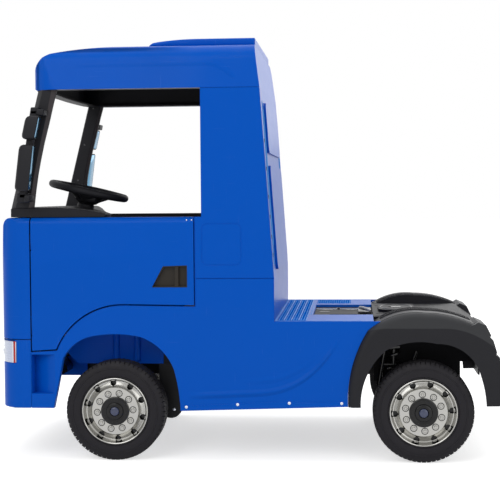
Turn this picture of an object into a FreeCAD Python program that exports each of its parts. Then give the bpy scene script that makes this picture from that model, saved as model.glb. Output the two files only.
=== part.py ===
import FreeCAD, Part
import math
import os

os.makedirs("parts", exist_ok=True)

# A child's ride-on toy: the tractor unit of an articulated lorry. Sizes are in millimetres.
# It faces -X, its left side is at -Y, Z is up, and the origin is on the floor under its middle.

# Whole toy
LENGTH = 1262
HEIGHT = 1062
MIRROR_SPAN = 770
MIRROR_REACH = 50
PANEL = 5
SEAM = 2
SEAM_DEPTH = 2.5
TOUCH = 0.3
OVERRUN = 25
FULL_TURN = 360

# Stations along the toy, as shares of its length from the front
PILLAR_FOOT_SHARE = 0.038827
ROOF_FRONT_SHARE = 0.068146
FRONT_SEAM_SHARE = 0.071078
PILLAR_HEAD_SHARE = 0.097464
ARCH_FRONT_SHARE = 0.116482
STEP_REAR_SHARE = 0.119414
TUB_FRONT_SHARE = 0.121236
WHEEL_CENTRE_SHARE = 0.162441
DASH_REAR_SHARE = 0.228209
FRONT_AXLE_SHARE = 0.240571
TUB_REAR_SHARE = 0.323296
BRACKET_SHARE = 0.337559
SEAT_FRONT_SHARE = 0.345483
ARCH_REAR_SHARE = 0.371632
SHELF_REAR_SHARE = 0.381141
DOOR_REAR_SHARE = 0.403328
BATTERY_SHARE = 0.416006
CAB_TOP_SHARE = 0.533281
CAB_REAR_SHARE = 0.559429
TRAY_SHARE = 0.630745
GUARD_FRONT_SHARE = 0.703645
DECK_REAR_SHARE = 0.754358
REAR_AXLE_SHARE = 0.850475

# Heights of the body's lines
SKIRT_HEIGHT = 131
BUMPER_TOP = 305
DECK_HEIGHT = 351
WAIST_HEIGHT = 458
SILL_HEIGHT = 612
ROOF_DEPTH = 109
FAIRING_RISE = 21

# Front shell
FRONT_CORNER = 64
FRONT_BOW = 6
NOSE_SETBACK = 4
NOSE_KNEE = 420
NOSE_LEAN = 12
NOSE_ROUND = 26
GRILLE_SHARE = 0.537313
GRILLE_RISE = 30
GRILLE_DROP = 52
GRILLE_SLATS = 7
GRILLE_SLAT = 12
GRILLE_FRAME = 12
INTAKE_SHARE = 0.597015
INTAKE_RISE = 19
INTAKE_HEIGHT = 65
INTAKE_BARS = 9
INTAKE_BAR = 8
BACKING = 2
LAMP_DROP = 60
LAMP_HEIGHT = 55
LAMP_REACH = 50
LAMP_WIDTH = 130
MARKER_LENGTH = 6

# Lower side with the wheel arch
ARCH_TOP = 318
ARCH_LIP = 4
ARCH_LIP_DEPTH = 14
DOOR_FOOT = 273
DOOR_SILL = 391
STEP_DEPTH = 34
STEP_LOW = 168
STEP_WALL = 4
FLANGE_FRONT = 6
FLANGE_REAR = 19
FLANGE_PROUD = 0.8

# Doors
DOOR_THICKNESS = 20
DOOR_GAP = 3.5
SHOULDER_ROUND = 16
HINGE_AHEAD = 1.2
HINGE_INSET = 2
HINGE_RADIUS = 2.2
HINGE_PIN = 1.2
HINGE_FIT = 0.1
HINGE_RISE = 40
HINGE_DROP = 52
HINGE_LEAF = 14
HANDLE_LENGTH = 89
HANDLE_HEIGHT = 55
HANDLE_LOW = 436
HANDLE_SETBACK = 20
HANDLE_SLANT = 28
HANDLE_DEPTH = 14
HANDLE_WALL = 2
HANDLE_BAR = 9
HANDLE_BAR_DEPTH = 4
HANDLE_BAR_SETBACK = 22

# Cab side and rear wall
PILLAR_STEP = 16
EMBOSS_DEPTH = 0.8
EMBOSS_LINE = 3
EMBOSS_REAR = 80
EMBOSS_SHARES = [0.208, 0.896]
WALL_RAISE = 6
WALL_ROUND = 24
WALL_FIELD_SHARE = 0.72
WALL_FIELD_SHARES = [(0.034, 0.595), (0.662, 0.932)]
RAIL_TOP = 228

# Windscreen pillars
PILLAR_FOOT = 53
PILLAR_HEAD = 42
PILLAR_WIDTH = 25
PILLAR_INSET = 10

# Roof
ROOF_CORNER = 70
ROOF_BOW = 10
ROOF_LEAN = 13
ROOF_ROUND = 46
LINER_WALL = 3
LINER_RIM = 36
LINER_RIM_THICK = 5
FAIRING_LENGTH = 276
FAIRING_INSET = 80
FAIRING_REAR = 16

# Mirrors, with heights as shares of the pillar's
MIRROR_INSET = 4
MIRROR_THICK = 30
MIRROR_FOOT_SHARES = [0.044, 0.119]
MIRROR_LOWER_SHARES = [0.146, 0.522]
MIRROR_UPPER_SHARES = [0.593, 0.769]
MIRROR_ARM_SHARES = [0.786, 0.847]
MIRROR_MARGIN_SHARE = 0.017
MIRROR_FACE = 4
MIRROR_ROUND = 5

# Cab inside
DASH_RISE = 25
DASH_DEPTH = 167
DASH_SIDE = 27
DASH_INSET = 8
TUB_FLOOR = 228
TUB_SIDE = 130
TUB_SHELF = 324
TUB_SLOPE = 30
TUB_RIB = 9
TUB_RIB_SHARES = [0.2254, 0.2694]
PEDAL_HEIGHT = 45
PEDAL_REACH = 29
PEDAL_SHARES = [-0.73, -0.44]
SEAT_DECK = 340
SEAT_SIDE = 85
SEAT_CUSHION = 30
SEAT_BACK_TOP = 585

# Steering
WHEEL_RIM = 97
WHEEL_GRIP = 9.5
WHEEL_FACETS = 8
WHEEL_SIDE_SHARE = 0.447761
WHEEL_RISE = 42
WHEEL_TILT = 12.7
WHEEL_HUB = 24
WHEEL_HUB_DROP = 30
WHEEL_SPOKES = 3
WHEEL_SPOKE = 20
WHEEL_SPOKE_THICK = 8
COLUMN_RADIUS = 8
COLUMN_FIT = 0.05
COLUMN_LENGTH = 95
SHROUD_RADIUS = 34
SHROUD_TOP_RADIUS = 22
SHROUD_DROP = 34

# Wheels
TYRE_RADIUS = 125
TYRE_WIDTH = 78
TYRE_PROUD = 5
TYRE_BEAD = 80
RIM_RADIUS = 82.5
RIM_WALL = 4
RIM_LIP = 5
RIM_FACE_SHARE = 0.05
HAND_HOLES = 10
HAND_HOLE_RADIUS = 7.5
HAND_HOLE_CIRCLE = 70.5
HAND_HOLE_SHARE = 0.4
NUT_COUNT = 10
NUT_SIDES = 6
NUT_CIRCLE = 45.5
NUT_RADIUS = 6.5
NUT_HEIGHT = 4
HUB_RADIUS = 16
CAP_RADIUS = 35.4
CAP_HEIGHT = 6
CAP_CLEAR = 0.1
AXLE_RADIUS = 8
AXLE_FIT = 0.05
AXLE_NUT = 13
AXLE_NUT_WIDTH = 6

# Front axle and steering gear
KINGPIN_INSET = 97
KINGPIN_RADIUS = 6
EYE_RADIUS = 12
EYE_HEIGHT = 40
FORK_PLATE = 6
FORK_GAP = 0.5
FORK_SETBACK = 2
FORK_WEB = 6
FORK_HALF = 14
BEAM_HALF = 11
ARM_REACH = 60
ARM_HALF = 9
ROD_PIN = 4
ROD_SLOT = 4.5
ROD_EYE = 11
ROD_THICK = 6
ROD_HALF = 4
ROD_TRAVEL = 4.2

# Chassis
RAIL_HEIGHT = 40
RAIL_INNER = 80
RAIL_OUTER = 105
RAIL_WALL = 2
RAIL_SETBACK = 86
CROSS_SHARES = [0.06, 0.36, 0.56, 0.72, 0.92]
CROSS_HALF = 12
OUTRIGGER_SHARES = [0.386, 0.56, 0.72]
OUTRIGGER_HALF = 2
OUTRIGGER_LOW = 150
BRACKET_HALF = 30
BRACKET_ROUND = 115
BRACKET_GAP = 1
BRACKET_THICK = 6
BRACKET_ARM = 12
TRAY_WALL = 3
TRAY_LENGTH = 82
TRAY_TOP = 318
BATTERY_LENGTH = 130
BATTERY_HEIGHT = 89
HANGER_HALF = 22
GEARBOX_RADIUS = 42
GEARBOX_INNER_SIDE = 145
GEARBOX_OUTER_SIDE = 83
MOTOR_RADIUS = 24
MOTOR_AHEAD = 82
MOTOR_RISE = 26
MOTOR_SIDE = 217

# Deck, coupling and tail
DECK_RIBS = 4
DECK_RIB_PITCH = 18.5
DECK_RIB_START = 22
DECK_RIB_WIDTH = 3
DECK_RIB_RISE = 1.2
DECK_RIB_SIDE = 14
RECESS_SHARE = 0.453731
RECESS_DEPTH = 13
PLATE_THICK = 6
PLATE_SLOT_LENGTH = 60
PLATE_SLOT_HALF = 8
PLATE_SLOT_SHARE = 0.223881
TAIL_END = 27
TAIL_KNEE = 48
TAIL_DROP = 33
TAIL_ROUND = 20
TAIL_FOOT = 209
TAIL_LOW = 185
TAIL_NOTCH = 236
TAIL_NOTCH_LENGTH = 62
TAIL_WALL = 5
COUPLING_AHEAD = 57
COUPLING_LENGTH = 97
COUPLING_WIDTH = 180
COUPLING_ROUND = 40
COUPLING_THICK = 7
SOCKET_AHEAD = 68
SOCKET_RADIUS = 11
TAIL_LAMP_SHARES = [-0.829, -0.293]
TAIL_LAMP_HEIGHT = 34
TAIL_LAMP_DEPTH = 8
TAIL_LAMP_LOW = 252

# Mudguards
GUARD_FOOT = 138
GUARD_RISE = 21
GUARD_PROUD = 13
GUARD_WALL = 5
GUARD_ROUND = 17
GUARD_INNER_LIP = 24
GUARD_LIP_LOW = 290

# Outlines as shares of the length and height of the piece that they follow
VIA = "via"
ARCH_SHARES = [
    (0, 0), (VIA, 0.04, 0.33), (0.078, 0.67), (VIA, 0.175, 0.87), (0.34, 0.98), (VIA, 0.515, 1),
    (0.69, 0.963), (VIA, 0.845, 0.8), (0.95, 0.53), (VIA, 0.984, 0.26), (1, -0.03),
]
DOOR_LINE_SHARES = [(0.01, 0), (0.16, 0.034), (VIA, 0.283, 0.636), (0.565, 1), (1, 0.975)]
ROOF_FOOT_SHARES = [(0, 0.092), (0.038, 0), (1, 0)]
ROOF_SHARES = [
    (0.976, 1), (0.497, 1), (VIA, 0.274, 0.963), (0.102, 0.835), (VIA, 0.036, 0.587), (0.005, 0.303),
]
FAIRING_SHARES = [(0, 0), (0.045, 0.57), (0.12, 0.72), (VIA, 0.3, 0.93), (0.5, 1), (1, 1), (1, 0)]
GUARD_SHARES = [
    (0, 0), (VIA, 0.029, 0.436), (0.131, 0.812), (VIA, 0.291, 0.962), (0.508, 1),
    (VIA, 0.682, 0.966), (0.826, 0.885), (0.85, 0.906), (0.901, 0.872), (0.933, 0.769),
    (0.925, 0.744), (0.947, 0.718), (0.971, 0.59), (0.963, 0.564), (0.989, 0.538),
    (1, 0.419), (1, 0.026),
]
GUARD_OPENING_SHARES = [
    (0.083, -0.1), (0.083, 0), (VIA, 0.128, 0.355), (0.251, 0.611), (VIA, 0.409, 0.692),
    (0.583, 0.679), (VIA, 0.762, 0.59), (0.869, 0.333), (VIA, 0.893, 0.179), (0.904, 0.026),
    (0.904, -0.1),
]
DASH_SHARES = [(0, 1), (0.62, 0.985), (0.97, 0.9), (0.95, 0.75), (0.6, 0.42), (0.56, 0), (0, 0)]
SEAT_SHARES = [(0, 0), (0, 0.13), (0.72, 0.1), (0.84, 0.98), (0.94, 1), (1, 0)]
TYRE_SHARES = [
    (0.11, 0), (0, 0.35), (0.02, 0.78), (0.14, 1), (0.34, 1), (0.34, 0.91), (0.39, 0.91), (0.39, 1),
    (0.61, 1), (0.61, 0.91), (0.66, 0.91), (0.66, 1), (0.86, 1), (0.98, 0.78), (1, 0.35), (0.89, 0),
]
RIM_SHARES = [
    (0.02, 1), (0.02, 0.95), (0.18, 0.9), (0.18, 0.8), (0.05, 0.68), (0.05, 0), (0.11, 0),
    (0.11, 0.64), (0.24, 0.8), (0.24, 0.91), (1, 0.91),
]
CAP_SHARES = [
    (1, 0), (1, 1), (0.55, 1), (0.45, 0.92), (0.45, 0.66), (0.25, 0.6), (0.25, 0.34), (0, 0.28),
    (0, 0),
]


def station(share):
    """Place along the toy from a share of its length."""
    return -LENGTH / 2 + share * LENGTH


# Derived places
FRONT = station(0)
REAR = -FRONT
MIRROR_SIDE = MIRROR_SPAN / 2
SIDE = MIRROR_SIDE - MIRROR_REACH
BODY_WIDTH = SIDE + SIDE
INNER = SIDE - PANEL
MIRROR_WIDTH = MIRROR_REACH + MIRROR_INSET
ROOF_TOP = HEIGHT - FAIRING_RISE
ROOF_LINE = ROOF_TOP - ROOF_DEPTH
FRONT_AXLE = station(FRONT_AXLE_SHARE)
REAR_AXLE = station(REAR_AXLE_SHARE)
HUB_HEIGHT = TYRE_RADIUS
TYRE_FACE = SIDE + TYRE_PROUD
FRONT_SEAM = station(FRONT_SEAM_SHARE)
ROOF_FRONT = station(ROOF_FRONT_SHARE)
PILLAR_FOOT_PLACE = station(PILLAR_FOOT_SHARE)
PILLAR_HEAD_PLACE = station(PILLAR_HEAD_SHARE)
DOOR_REAR = station(DOOR_REAR_SHARE)
WINDOW_REAR = DOOR_REAR + PILLAR_STEP
CAB_REAR = station(CAB_REAR_SHARE)
CAB_TOP_REAR = station(CAB_TOP_SHARE)
DECK_REAR = station(DECK_REAR_SHARE)
ARCH_FRONT = station(ARCH_FRONT_SHARE)
ARCH_REAR = station(ARCH_REAR_SHARE)
STEP_REAR = station(STEP_REAR_SHARE)
HINGE_X = FRONT_SEAM + DOOR_GAP - HINGE_AHEAD
HINGE_Y = SIDE - HINGE_INSET
HINGE_HEIGHTS = [BUMPER_TOP + HINGE_RISE, SILL_HEIGHT - HINGE_DROP]
GRILLE_HALF = GRILLE_SHARE * SIDE
GRILLE_LOW = BUMPER_TOP + GRILLE_RISE
GRILLE_HIGH = SILL_HEIGHT - GRILLE_DROP
INTAKE_HALF = INTAKE_SHARE * SIDE
INTAKE_LOW = SKIRT_HEIGHT + INTAKE_RISE
INTAKE_HIGH = INTAKE_LOW + INTAKE_HEIGHT
LAMP_LOW = BUMPER_TOP - LAMP_DROP
LAMP_HIGH = LAMP_LOW + LAMP_HEIGHT
DASH_TOP = SILL_HEIGHT + DASH_RISE
DASH_LOW = DASH_TOP - DASH_DEPTH
DASH_HALF = SIDE - DASH_SIDE
TUB_FRONT = station(TUB_FRONT_SHARE)
TUB_REAR = station(TUB_REAR_SHARE)
TUB_HALF = SIDE - TUB_SIDE
SHELF_REAR = station(SHELF_REAR_SHARE)
KINGPIN_SIDE = SIDE - KINGPIN_INSET
RAIL_LOW = RAIL_TOP - RAIL_HEIGHT
BRACKET_PLACE = station(BRACKET_SHARE)
BRACKET_OUTER = TUB_HALF - BRACKET_GAP
BRACKET_INNER = BRACKET_OUTER - BRACKET_THICK
GEARBOX_INNER = SIDE - GEARBOX_INNER_SIDE
GEARBOX_OUTER = SIDE - GEARBOX_OUTER_SIDE
MOTOR_INNER = SIDE - MOTOR_SIDE
RECESS_HALF = RECESS_SHARE * SIDE
TAIL_REAR = REAR - TAIL_END
GUARD_FRONT = station(GUARD_FRONT_SHARE)
GUARD_TOP = DECK_HEIGHT + GUARD_RISE
GUARD_OUTER = SIDE + GUARD_PROUD
GUARD_INNER = TUB_HALF

AXES = {
    "yz": FreeCAD.Vector(1, 0, 0),
    "xz": FreeCAD.Vector(0, 1, 0),
    "xy": FreeCAD.Vector(0, 0, 1),
}


def at(plane, across, up):
    """Point of a main plane: XZ seen from the side, XY from above or YZ from the front."""
    if plane == "xz":
        return FreeCAD.Vector(across, 0, up)
    if plane == "xy":
        return FreeCAD.Vector(across, up, 0)
    return FreeCAD.Vector(0, across, up)


def outline(plane, corners):
    """Closed face. A corner is (a, b) or rounded (a, b, radius); (VIA, a, b) bows the next edge."""
    stops = []
    bows = {}
    for corner in corners:
        if corner[0] == VIA:
            bows[len(stops) - 1] = at(plane, corner[1], corner[2])
        else:
            stops.append(corner)
    points = [at(plane, corner[0], corner[1]) for corner in stops]
    enter = list(points)
    leave = list(points)
    arcs = {}
    for i, corner in enumerate(stops):
        if len(corner) == 3 and corner[2] > 0:
            back = (points[i - 1] - points[i]).normalize()
            ahead = (points[(i + 1) % len(points)] - points[i]).normalize()
            half = back.getAngle(ahead) / 2
            reach = corner[2] / math.tan(half)
            enter[i] = points[i] + back * reach
            leave[i] = points[i] + ahead * reach
            inward = (back + ahead).normalize()
            middle = points[i] + inward * (corner[2] / math.sin(half) - corner[2])
            arcs[i] = Part.Arc(enter[i], middle, leave[i]).toShape()
    edges = []
    for i in range(len(stops)):
        following = (i + 1) % len(stops)
        if i in arcs:
            edges.append(arcs[i])
        if i in bows:
            edges.append(Part.Arc(leave[i], bows[i], enter[following]).toShape())
        elif not leave[i].isEqual(enter[following], Part.Precision.confusion()):
            edges.append(Part.makeLine(leave[i], enter[following]))
    return Part.Face(Part.Wire(edges))


def extrude(face, plane, low, high):
    """Solid from a face, between two places along the plane's normal."""
    face = face.copy()
    face.translate(AXES[plane] * low)
    return face.extrude(AXES[plane] * (high - low))


def prism(plane, corners, low, high):
    """Solid from an outline."""
    return extrude(outline(plane, corners), plane, low, high)


def box(x_low, x_high, y_low, y_high, z_low, z_high):
    """Box between two corners."""
    corner = FreeCAD.Vector(x_low, y_low, z_low)
    return Part.makeBox(x_high - x_low, y_high - y_low, z_high - z_low, corner)


def rod(plane, across, up, radius, low, high):
    """Cylinder along the plane's normal."""
    start = at(plane, across, up) + AXES[plane] * low
    return Part.makeCylinder(radius, high - low, start, AXES[plane])


def scaled(shares, x_low, x_high, z_low, z_high):
    """Outline corners from shares of a box."""
    corners = []
    for corner in shares:
        mark = corner[:-2]
        across = x_low + corner[-2] * (x_high - x_low)
        up = z_low + corner[-1] * (z_high - z_low)
        corners.append(mark + (across, up))
    return corners


def backwards(corners):
    """The same run of corners and arc points from its other end."""
    return list(reversed(corners))


def turned(corners, centre_x, centre_z):
    """Solid of revolution about an axle along Y, from corners given as (y, radius)."""
    face = outline("yz", corners)
    solid = face.revolve(FreeCAD.Vector(0, 0, 0), AXES["xz"], FULL_TURN)
    solid.translate(FreeCAD.Vector(centre_x, 0, centre_z))
    return solid


def ring_of(count, circle, centre_x, centre_z, first_turn):
    """Centres of pieces set round a circle, seen from the side."""
    places = []
    for i in range(count):
        turn = math.radians(first_turn + i * FULL_TURN / count)
        places.append((centre_x + circle * math.cos(turn), centre_z + circle * math.sin(turn)))
    return places


def mirrored(shape):
    """The same piece on the other side of the toy."""
    return shape.mirror(FreeCAD.Vector(0, 0, 0), AXES["xz"])


def joined(shapes):
    """One solid from pieces that overlap or touch."""
    whole = shapes[0].fuse(shapes[1:]) if len(shapes) > 1 else shapes[0]
    return whole.removeSplitter()


def edges_at(shape, across, up):
    """Edges along the toy at one place across it and one height."""
    found = []
    for edge in shape.Edges:
        ends = [vertex.Point for vertex in edge.Vertexes]
        if all(abs(end.y - across) < TOUCH and abs(end.z - up) < TOUCH for end in ends):
            found.append(edge)
    return found


def save(node, *shapes):
    """Write one node, as one solid or as several that don't touch."""
    shape = shapes[0] if len(shapes) == 1 else Part.makeCompound(list(shapes))
    shape.exportStep("parts/" + node + ".step")


def save_pair(node, left):
    """Write a piece of the left side and its mirror image on the right."""
    save(node + "_left", left)
    save(node + "_right", mirrored(left))


def skin(corners):
    """Left body panel in the side's plane, with half a seam's groove round its outer edge."""
    face = outline("xz", corners)
    inner = extrude(face, "xz", -SIDE + SEAM_DEPTH, -INNER)
    outer = extrude(face.makeOffset2D(-SEAM / 2), "xz", -SIDE, -SIDE + SEAM_DEPTH)
    return joined([inner, outer])


def bowed_plan(face_x, rear_x, corner, bow, inset):
    """Plan of a cab-wide shell: bowed front, round corners, straight sides."""
    side = SIDE - inset
    start = face_x + bow + corner
    corner_side = SIDE - corner
    diagonal = (corner - inset) * math.sqrt(0.5)
    edge = face_x + bow + inset
    return outline("xy", [
        (rear_x, -side), (start, -side), (VIA, start - diagonal, -corner_side - diagonal),
        (edge, -corner_side), (VIA, face_x + inset, 0), (edge, corner_side),
        (VIA, start - diagonal, corner_side + diagonal), (start, side), (rear_x, side),
    ])


def front_form(inset, rear, low, high):
    """Bumper's bowed form, full for an inset of zero."""
    plan = bowed_plan(FRONT, rear, FRONT_CORNER, FRONT_BOW, inset)
    return extrude(plan, "xy", low, high)


def nose_form(inset, rear, low):
    """Front panel's form above the bumper: set back, leaning and rounded over at its top."""
    face = FRONT + NOSE_SETBACK + inset
    top = SILL_HEIGHT - inset
    side = SIDE - inset
    shoulder = SHOULDER_ROUND - inset
    profile = prism("xz", [
        (rear, low), (face, low), (face, NOSE_KNEE),
        (face + NOSE_LEAN, top, NOSE_ROUND - inset), (rear, top),
    ], -BODY_WIDTH, BODY_WIDTH)
    section = prism("yz", [
        (-side, low), (side, low), (side, top, shoulder), (-side, top, shoulder),
    ], FRONT, rear)
    return front_form(inset, rear, low, top + OVERRUN).common(profile).common(section)


def nose_layer(inset, thickness, opening, low):
    """Layer of the front panel's form inside an opening."""
    layer = nose_form(inset, FRONT_SEAM, low - OVERRUN)
    layer = layer.cut(nose_form(inset + thickness, FRONT_SEAM + OVERRUN, low - OVERRUN - OVERRUN))
    return layer.common(opening)


def front_panel():
    """Hollow front panel with its grille opening and the doors' hinge pins."""
    low = BUMPER_TOP + SEAM / 2
    shell = nose_form(0, FRONT_SEAM, low)
    shell = shell.cut(nose_form(PANEL, FRONT_SEAM + OVERRUN, low - OVERRUN))
    shell = shell.cut(box(FRONT - OVERRUN, FRONT_SEAM - OVERRUN, -GRILLE_HALF, GRILLE_HALF,
                          GRILLE_LOW, GRILLE_HIGH))
    for height in HINGE_HEIGHTS:
        for side in (-HINGE_Y, HINGE_Y):
            lug_low = height - HINGE_LEAF - TOUCH
            lug = rod("xy", HINGE_X, side, HINGE_RADIUS, lug_low - HINGE_LEAF, lug_low)
            web = box(FRONT_SEAM - SEAM, HINGE_X, side - HINGE_PIN, side + HINGE_PIN,
                      lug_low - HINGE_LEAF, lug_low)
            pin = rod("xy", HINGE_X, side, HINGE_PIN, lug_low - HINGE_LEAF, height + HINGE_LEAF)
            shell = joined([shell, lug, web, pin])
    return shell


def grille():
    """Slatted insert that follows the front panel's curve, closed by a sheet at its back."""
    half = GRILLE_HALF - TOUCH
    low = GRILLE_LOW + TOUCH
    high = GRILLE_HIGH - TOUCH
    opening = box(FRONT - OVERRUN, FRONT_SEAM - OVERRUN, -half, half, low, high)
    slats = nose_layer(SEAM, PANEL, opening, low)
    pitch = (high - low - GRILLE_SLAT) / GRILLE_SLATS
    gaps = []
    for i in range(GRILLE_SLATS):
        gap_low = low + GRILLE_SLAT + i * pitch
        gaps.append(box(FRONT - OVERRUN, FRONT_SEAM - OVERRUN, -half + GRILLE_FRAME,
                        half - GRILLE_FRAME, gap_low, gap_low + pitch - GRILLE_SLAT))
    return joined([slats.cut(gaps), nose_layer(SEAM + PANEL, BACKING, opening, low)])


def lamp_region(reach_low, reach_high):
    """Left corner stretch of the bumper that a lamp takes up."""
    return box(FRONT + reach_low, FRONT + reach_high, -SIDE - OVERRUN, -SIDE + LAMP_WIDTH,
               LAMP_LOW, LAMP_HIGH)


def bumper():
    """Hollow bumper with openings for its intake and corner lamps."""
    shell = front_form(0, FRONT_SEAM, SKIRT_HEIGHT, BUMPER_TOP - SEAM / 2)
    shell = shell.cut(front_form(PANEL, FRONT_SEAM + OVERRUN, SKIRT_HEIGHT - OVERRUN,
                                 BUMPER_TOP + OVERRUN))
    shell = shell.cut(box(FRONT - OVERRUN, FRONT_SEAM - OVERRUN, -INTAKE_HALF, INTAKE_HALF,
                          INTAKE_LOW, INTAKE_HIGH))
    lamp = lamp_region(-OVERRUN, LAMP_REACH)
    return shell.cut([lamp, mirrored(lamp)])


def intake():
    """Barred insert in the bumper's lower opening, closed by a sheet at its back."""
    half = INTAKE_HALF - TOUCH
    low = INTAKE_LOW + TOUCH
    high = INTAKE_HIGH - TOUCH
    opening = box(FRONT - OVERRUN, FRONT_SEAM - OVERRUN, -half, half, low, high)
    face = front_form(SEAM, FRONT_SEAM, low, high)
    middle = front_form(SEAM + PANEL, FRONT_SEAM + OVERRUN, low - OVERRUN, high + OVERRUN)
    back = front_form(SEAM + PANEL + BACKING, FRONT_SEAM + OVERRUN, low - OVERRUN, high + OVERRUN)
    pitch = (half + half - INTAKE_BAR) / INTAKE_BARS
    gaps = []
    for i in range(INTAKE_BARS):
        gap_side = -half + INTAKE_BAR + i * pitch
        gaps.append(box(FRONT - OVERRUN, FRONT_SEAM - OVERRUN, gap_side,
                        gap_side + pitch - INTAKE_BAR, low + INTAKE_BAR, high - INTAKE_BAR))
    bars = face.cut(middle).common(opening).cut(gaps)
    return joined([bars, face.common(middle).cut(back).common(opening)])


def lamp_shell(reach_low, reach_high):
    """Stretch of the bumper's wall, as a lens that fills the lamp's opening."""
    low = LAMP_LOW + TOUCH
    high = LAMP_HIGH - TOUCH
    form = front_form(0, FRONT_SEAM, low, high)
    form = form.cut(front_form(PANEL, FRONT_SEAM + OVERRUN, low - OVERRUN, high + OVERRUN))
    return form.common(box(FRONT + reach_low, FRONT + reach_high, -SIDE - OVERRUN,
                           -SIDE + LAMP_WIDTH - TOUCH, low, high))


def guard_face(grow):
    """Side face of a rear mudguard, grown by a margin."""
    face = outline("xz", scaled(GUARD_SHARES, GUARD_FRONT, REAR, GUARD_FOOT, GUARD_TOP))
    return face.makeOffset2D(grow) if grow else face


def lower_side():
    """Left side below the door and cab panel, with the wheel arch and the entry step."""
    arch = scaled(ARCH_SHARES, ARCH_FRONT, ARCH_REAR, SKIRT_HEIGHT, ARCH_TOP)
    door_line = scaled(DOOR_LINE_SHARES, FRONT_SEAM, DOOR_REAR, DOOR_FOOT, DOOR_SILL)
    corners = [(FRONT_SEAM, SKIRT_HEIGHT), (FRONT_SEAM, DOOR_FOOT)] + door_line
    corners += [
        (DOOR_REAR, WAIST_HEIGHT), (CAB_REAR, WAIST_HEIGHT), (CAB_REAR, DECK_HEIGHT),
        (DECK_REAR + OVERRUN, DECK_HEIGHT), (DECK_REAR + OVERRUN, GUARD_FOOT + OVERRUN),
        (GUARD_FRONT + OVERRUN, GUARD_FOOT + OVERRUN), (GUARD_FRONT, GUARD_FOOT),
    ]
    corners += backwards(arch)
    band = prism("xz", [
        (ARCH_REAR - ARCH_LIP, 0), (GUARD_FRONT, 0), (GUARD_FRONT, SKIRT_HEIGHT + FLANGE_REAR),
        (CAB_REAR, SKIRT_HEIGHT + FLANGE_REAR), (ARCH_REAR - ARCH_LIP, SKIRT_HEIGHT + FLANGE_FRONT),
    ], -SIDE - FLANGE_PROUD, -SIDE)
    flange = extrude(outline("xz", corners).makeOffset2D(-SEAM / 2), "xz", -SIDE - FLANGE_PROUD, -SIDE)
    guard = extrude(guard_face(TOUCH), "xz", -GUARD_OUTER, -GUARD_INNER)
    panel = joined([skin(corners), flange.common(band)]).cut(guard)
    opening = outline("xz", arch)
    lip = extrude(opening.makeOffset2D(ARCH_LIP), "xz", -INNER, -INNER + ARCH_LIP_DEPTH)
    lip = lip.cut(extrude(opening, "xz", -SIDE, 0))
    lip = lip.common(box(FRONT_SEAM, CAB_REAR, -SIDE, 0, SKIRT_HEIGHT, ARCH_TOP + OVERRUN))
    step_top = DOOR_FOOT - SEAM
    wedge = [
        (FRONT_SEAM + SEAM, -SIDE - OVERRUN), (STEP_REAR, -SIDE - OVERRUN), (STEP_REAR, -SIDE),
        (FRONT_SEAM + SEAM, -SIDE + STEP_DEPTH),
    ]
    outer = [
        (FRONT_SEAM, -INNER), (STEP_REAR, -INNER),
        (FRONT_SEAM + SEAM + STEP_WALL, -SIDE + STEP_DEPTH + STEP_WALL),
        (FRONT_SEAM, -SIDE + STEP_DEPTH + STEP_WALL),
    ]
    pocket = prism("xy", outer, STEP_LOW - STEP_WALL, step_top)
    panel = joined([panel, lip, pocket])
    return panel.cut(prism("xy", wedge, STEP_LOW, step_top - STEP_WALL))


def door_face():
    """Left door opening, seen from the side."""
    line = scaled(DOOR_LINE_SHARES, FRONT_SEAM, DOOR_REAR, DOOR_FOOT, DOOR_SILL)
    top = SILL_HEIGHT + DOOR_GAP
    return outline("xz", [(FRONT_SEAM, DOOR_FOOT)] + line + [(DOOR_REAR, top), (FRONT_SEAM, top)])


def handle_corners(grow):
    """Slanted outline of the grip recess."""
    rear = DOOR_REAR - HANDLE_SETBACK
    front = rear - HANDLE_LENGTH
    low = HANDLE_LOW - grow
    high = HANDLE_LOW + HANDLE_HEIGHT + grow
    return [
        (front - grow, low), (front + HANDLE_SLANT - grow, high - HANDLE_WALL),
        (rear + grow, high), (rear + grow, low),
    ]


def door():
    """Left door, as thick as the whole door, with its hinge sleeves and grip recess."""
    slab = extrude(door_face().makeOffset2D(-DOOR_GAP), "xz", -SIDE, -SIDE + DOOR_THICKNESS)
    slab = slab.makeFillet(SHOULDER_ROUND, edges_at(slab, -SIDE, SILL_HEIGHT))
    slab = slab.cut(prism("xz", handle_corners(0), -SIDE - OVERRUN, -SIDE + HANDLE_DEPTH))
    for height in HINGE_HEIGHTS:
        low = height - HINGE_LEAF
        high = height + HINGE_LEAF
        below = low - TOUCH - HINGE_LEAF - DOOR_GAP
        slab = slab.cut(box(HINGE_X - HINGE_RADIUS, HINGE_X + HINGE_RADIUS + TOUCH, -SIDE - OVERRUN,
                            -HINGE_Y + HINGE_RADIUS + TOUCH, below, low))
        slab = joined([slab, rod("xy", HINGE_X, -HINGE_Y, HINGE_RADIUS, low, high)])
        slab = slab.cut(rod("xy", HINGE_X, -HINGE_Y, HINGE_PIN + HINGE_FIT, low - OVERRUN, high + OVERRUN))
    return slab


def door_handle():
    """Black tray in the grip recess with its upright grab bar."""
    tray = prism("xz", handle_corners(-TOUCH), -SIDE + TOUCH, -SIDE + HANDLE_DEPTH - TOUCH)
    hollow = prism("xz", handle_corners(-TOUCH - HANDLE_WALL), -SIDE - OVERRUN,
                   -SIDE + HANDLE_DEPTH - HANDLE_WALL)
    bar_rear = DOOR_REAR - HANDLE_SETBACK - HANDLE_BAR_SETBACK
    bar = box(bar_rear - HANDLE_BAR, bar_rear, -SIDE + TOUCH, -SIDE + TOUCH + HANDLE_BAR_DEPTH,
              HANDLE_LOW + HANDLE_WALL / 2, HANDLE_LOW + HANDLE_HEIGHT - HANDLE_WALL - HANDLE_WALL)
    return joined([tray.cut(hollow), bar])


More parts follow.
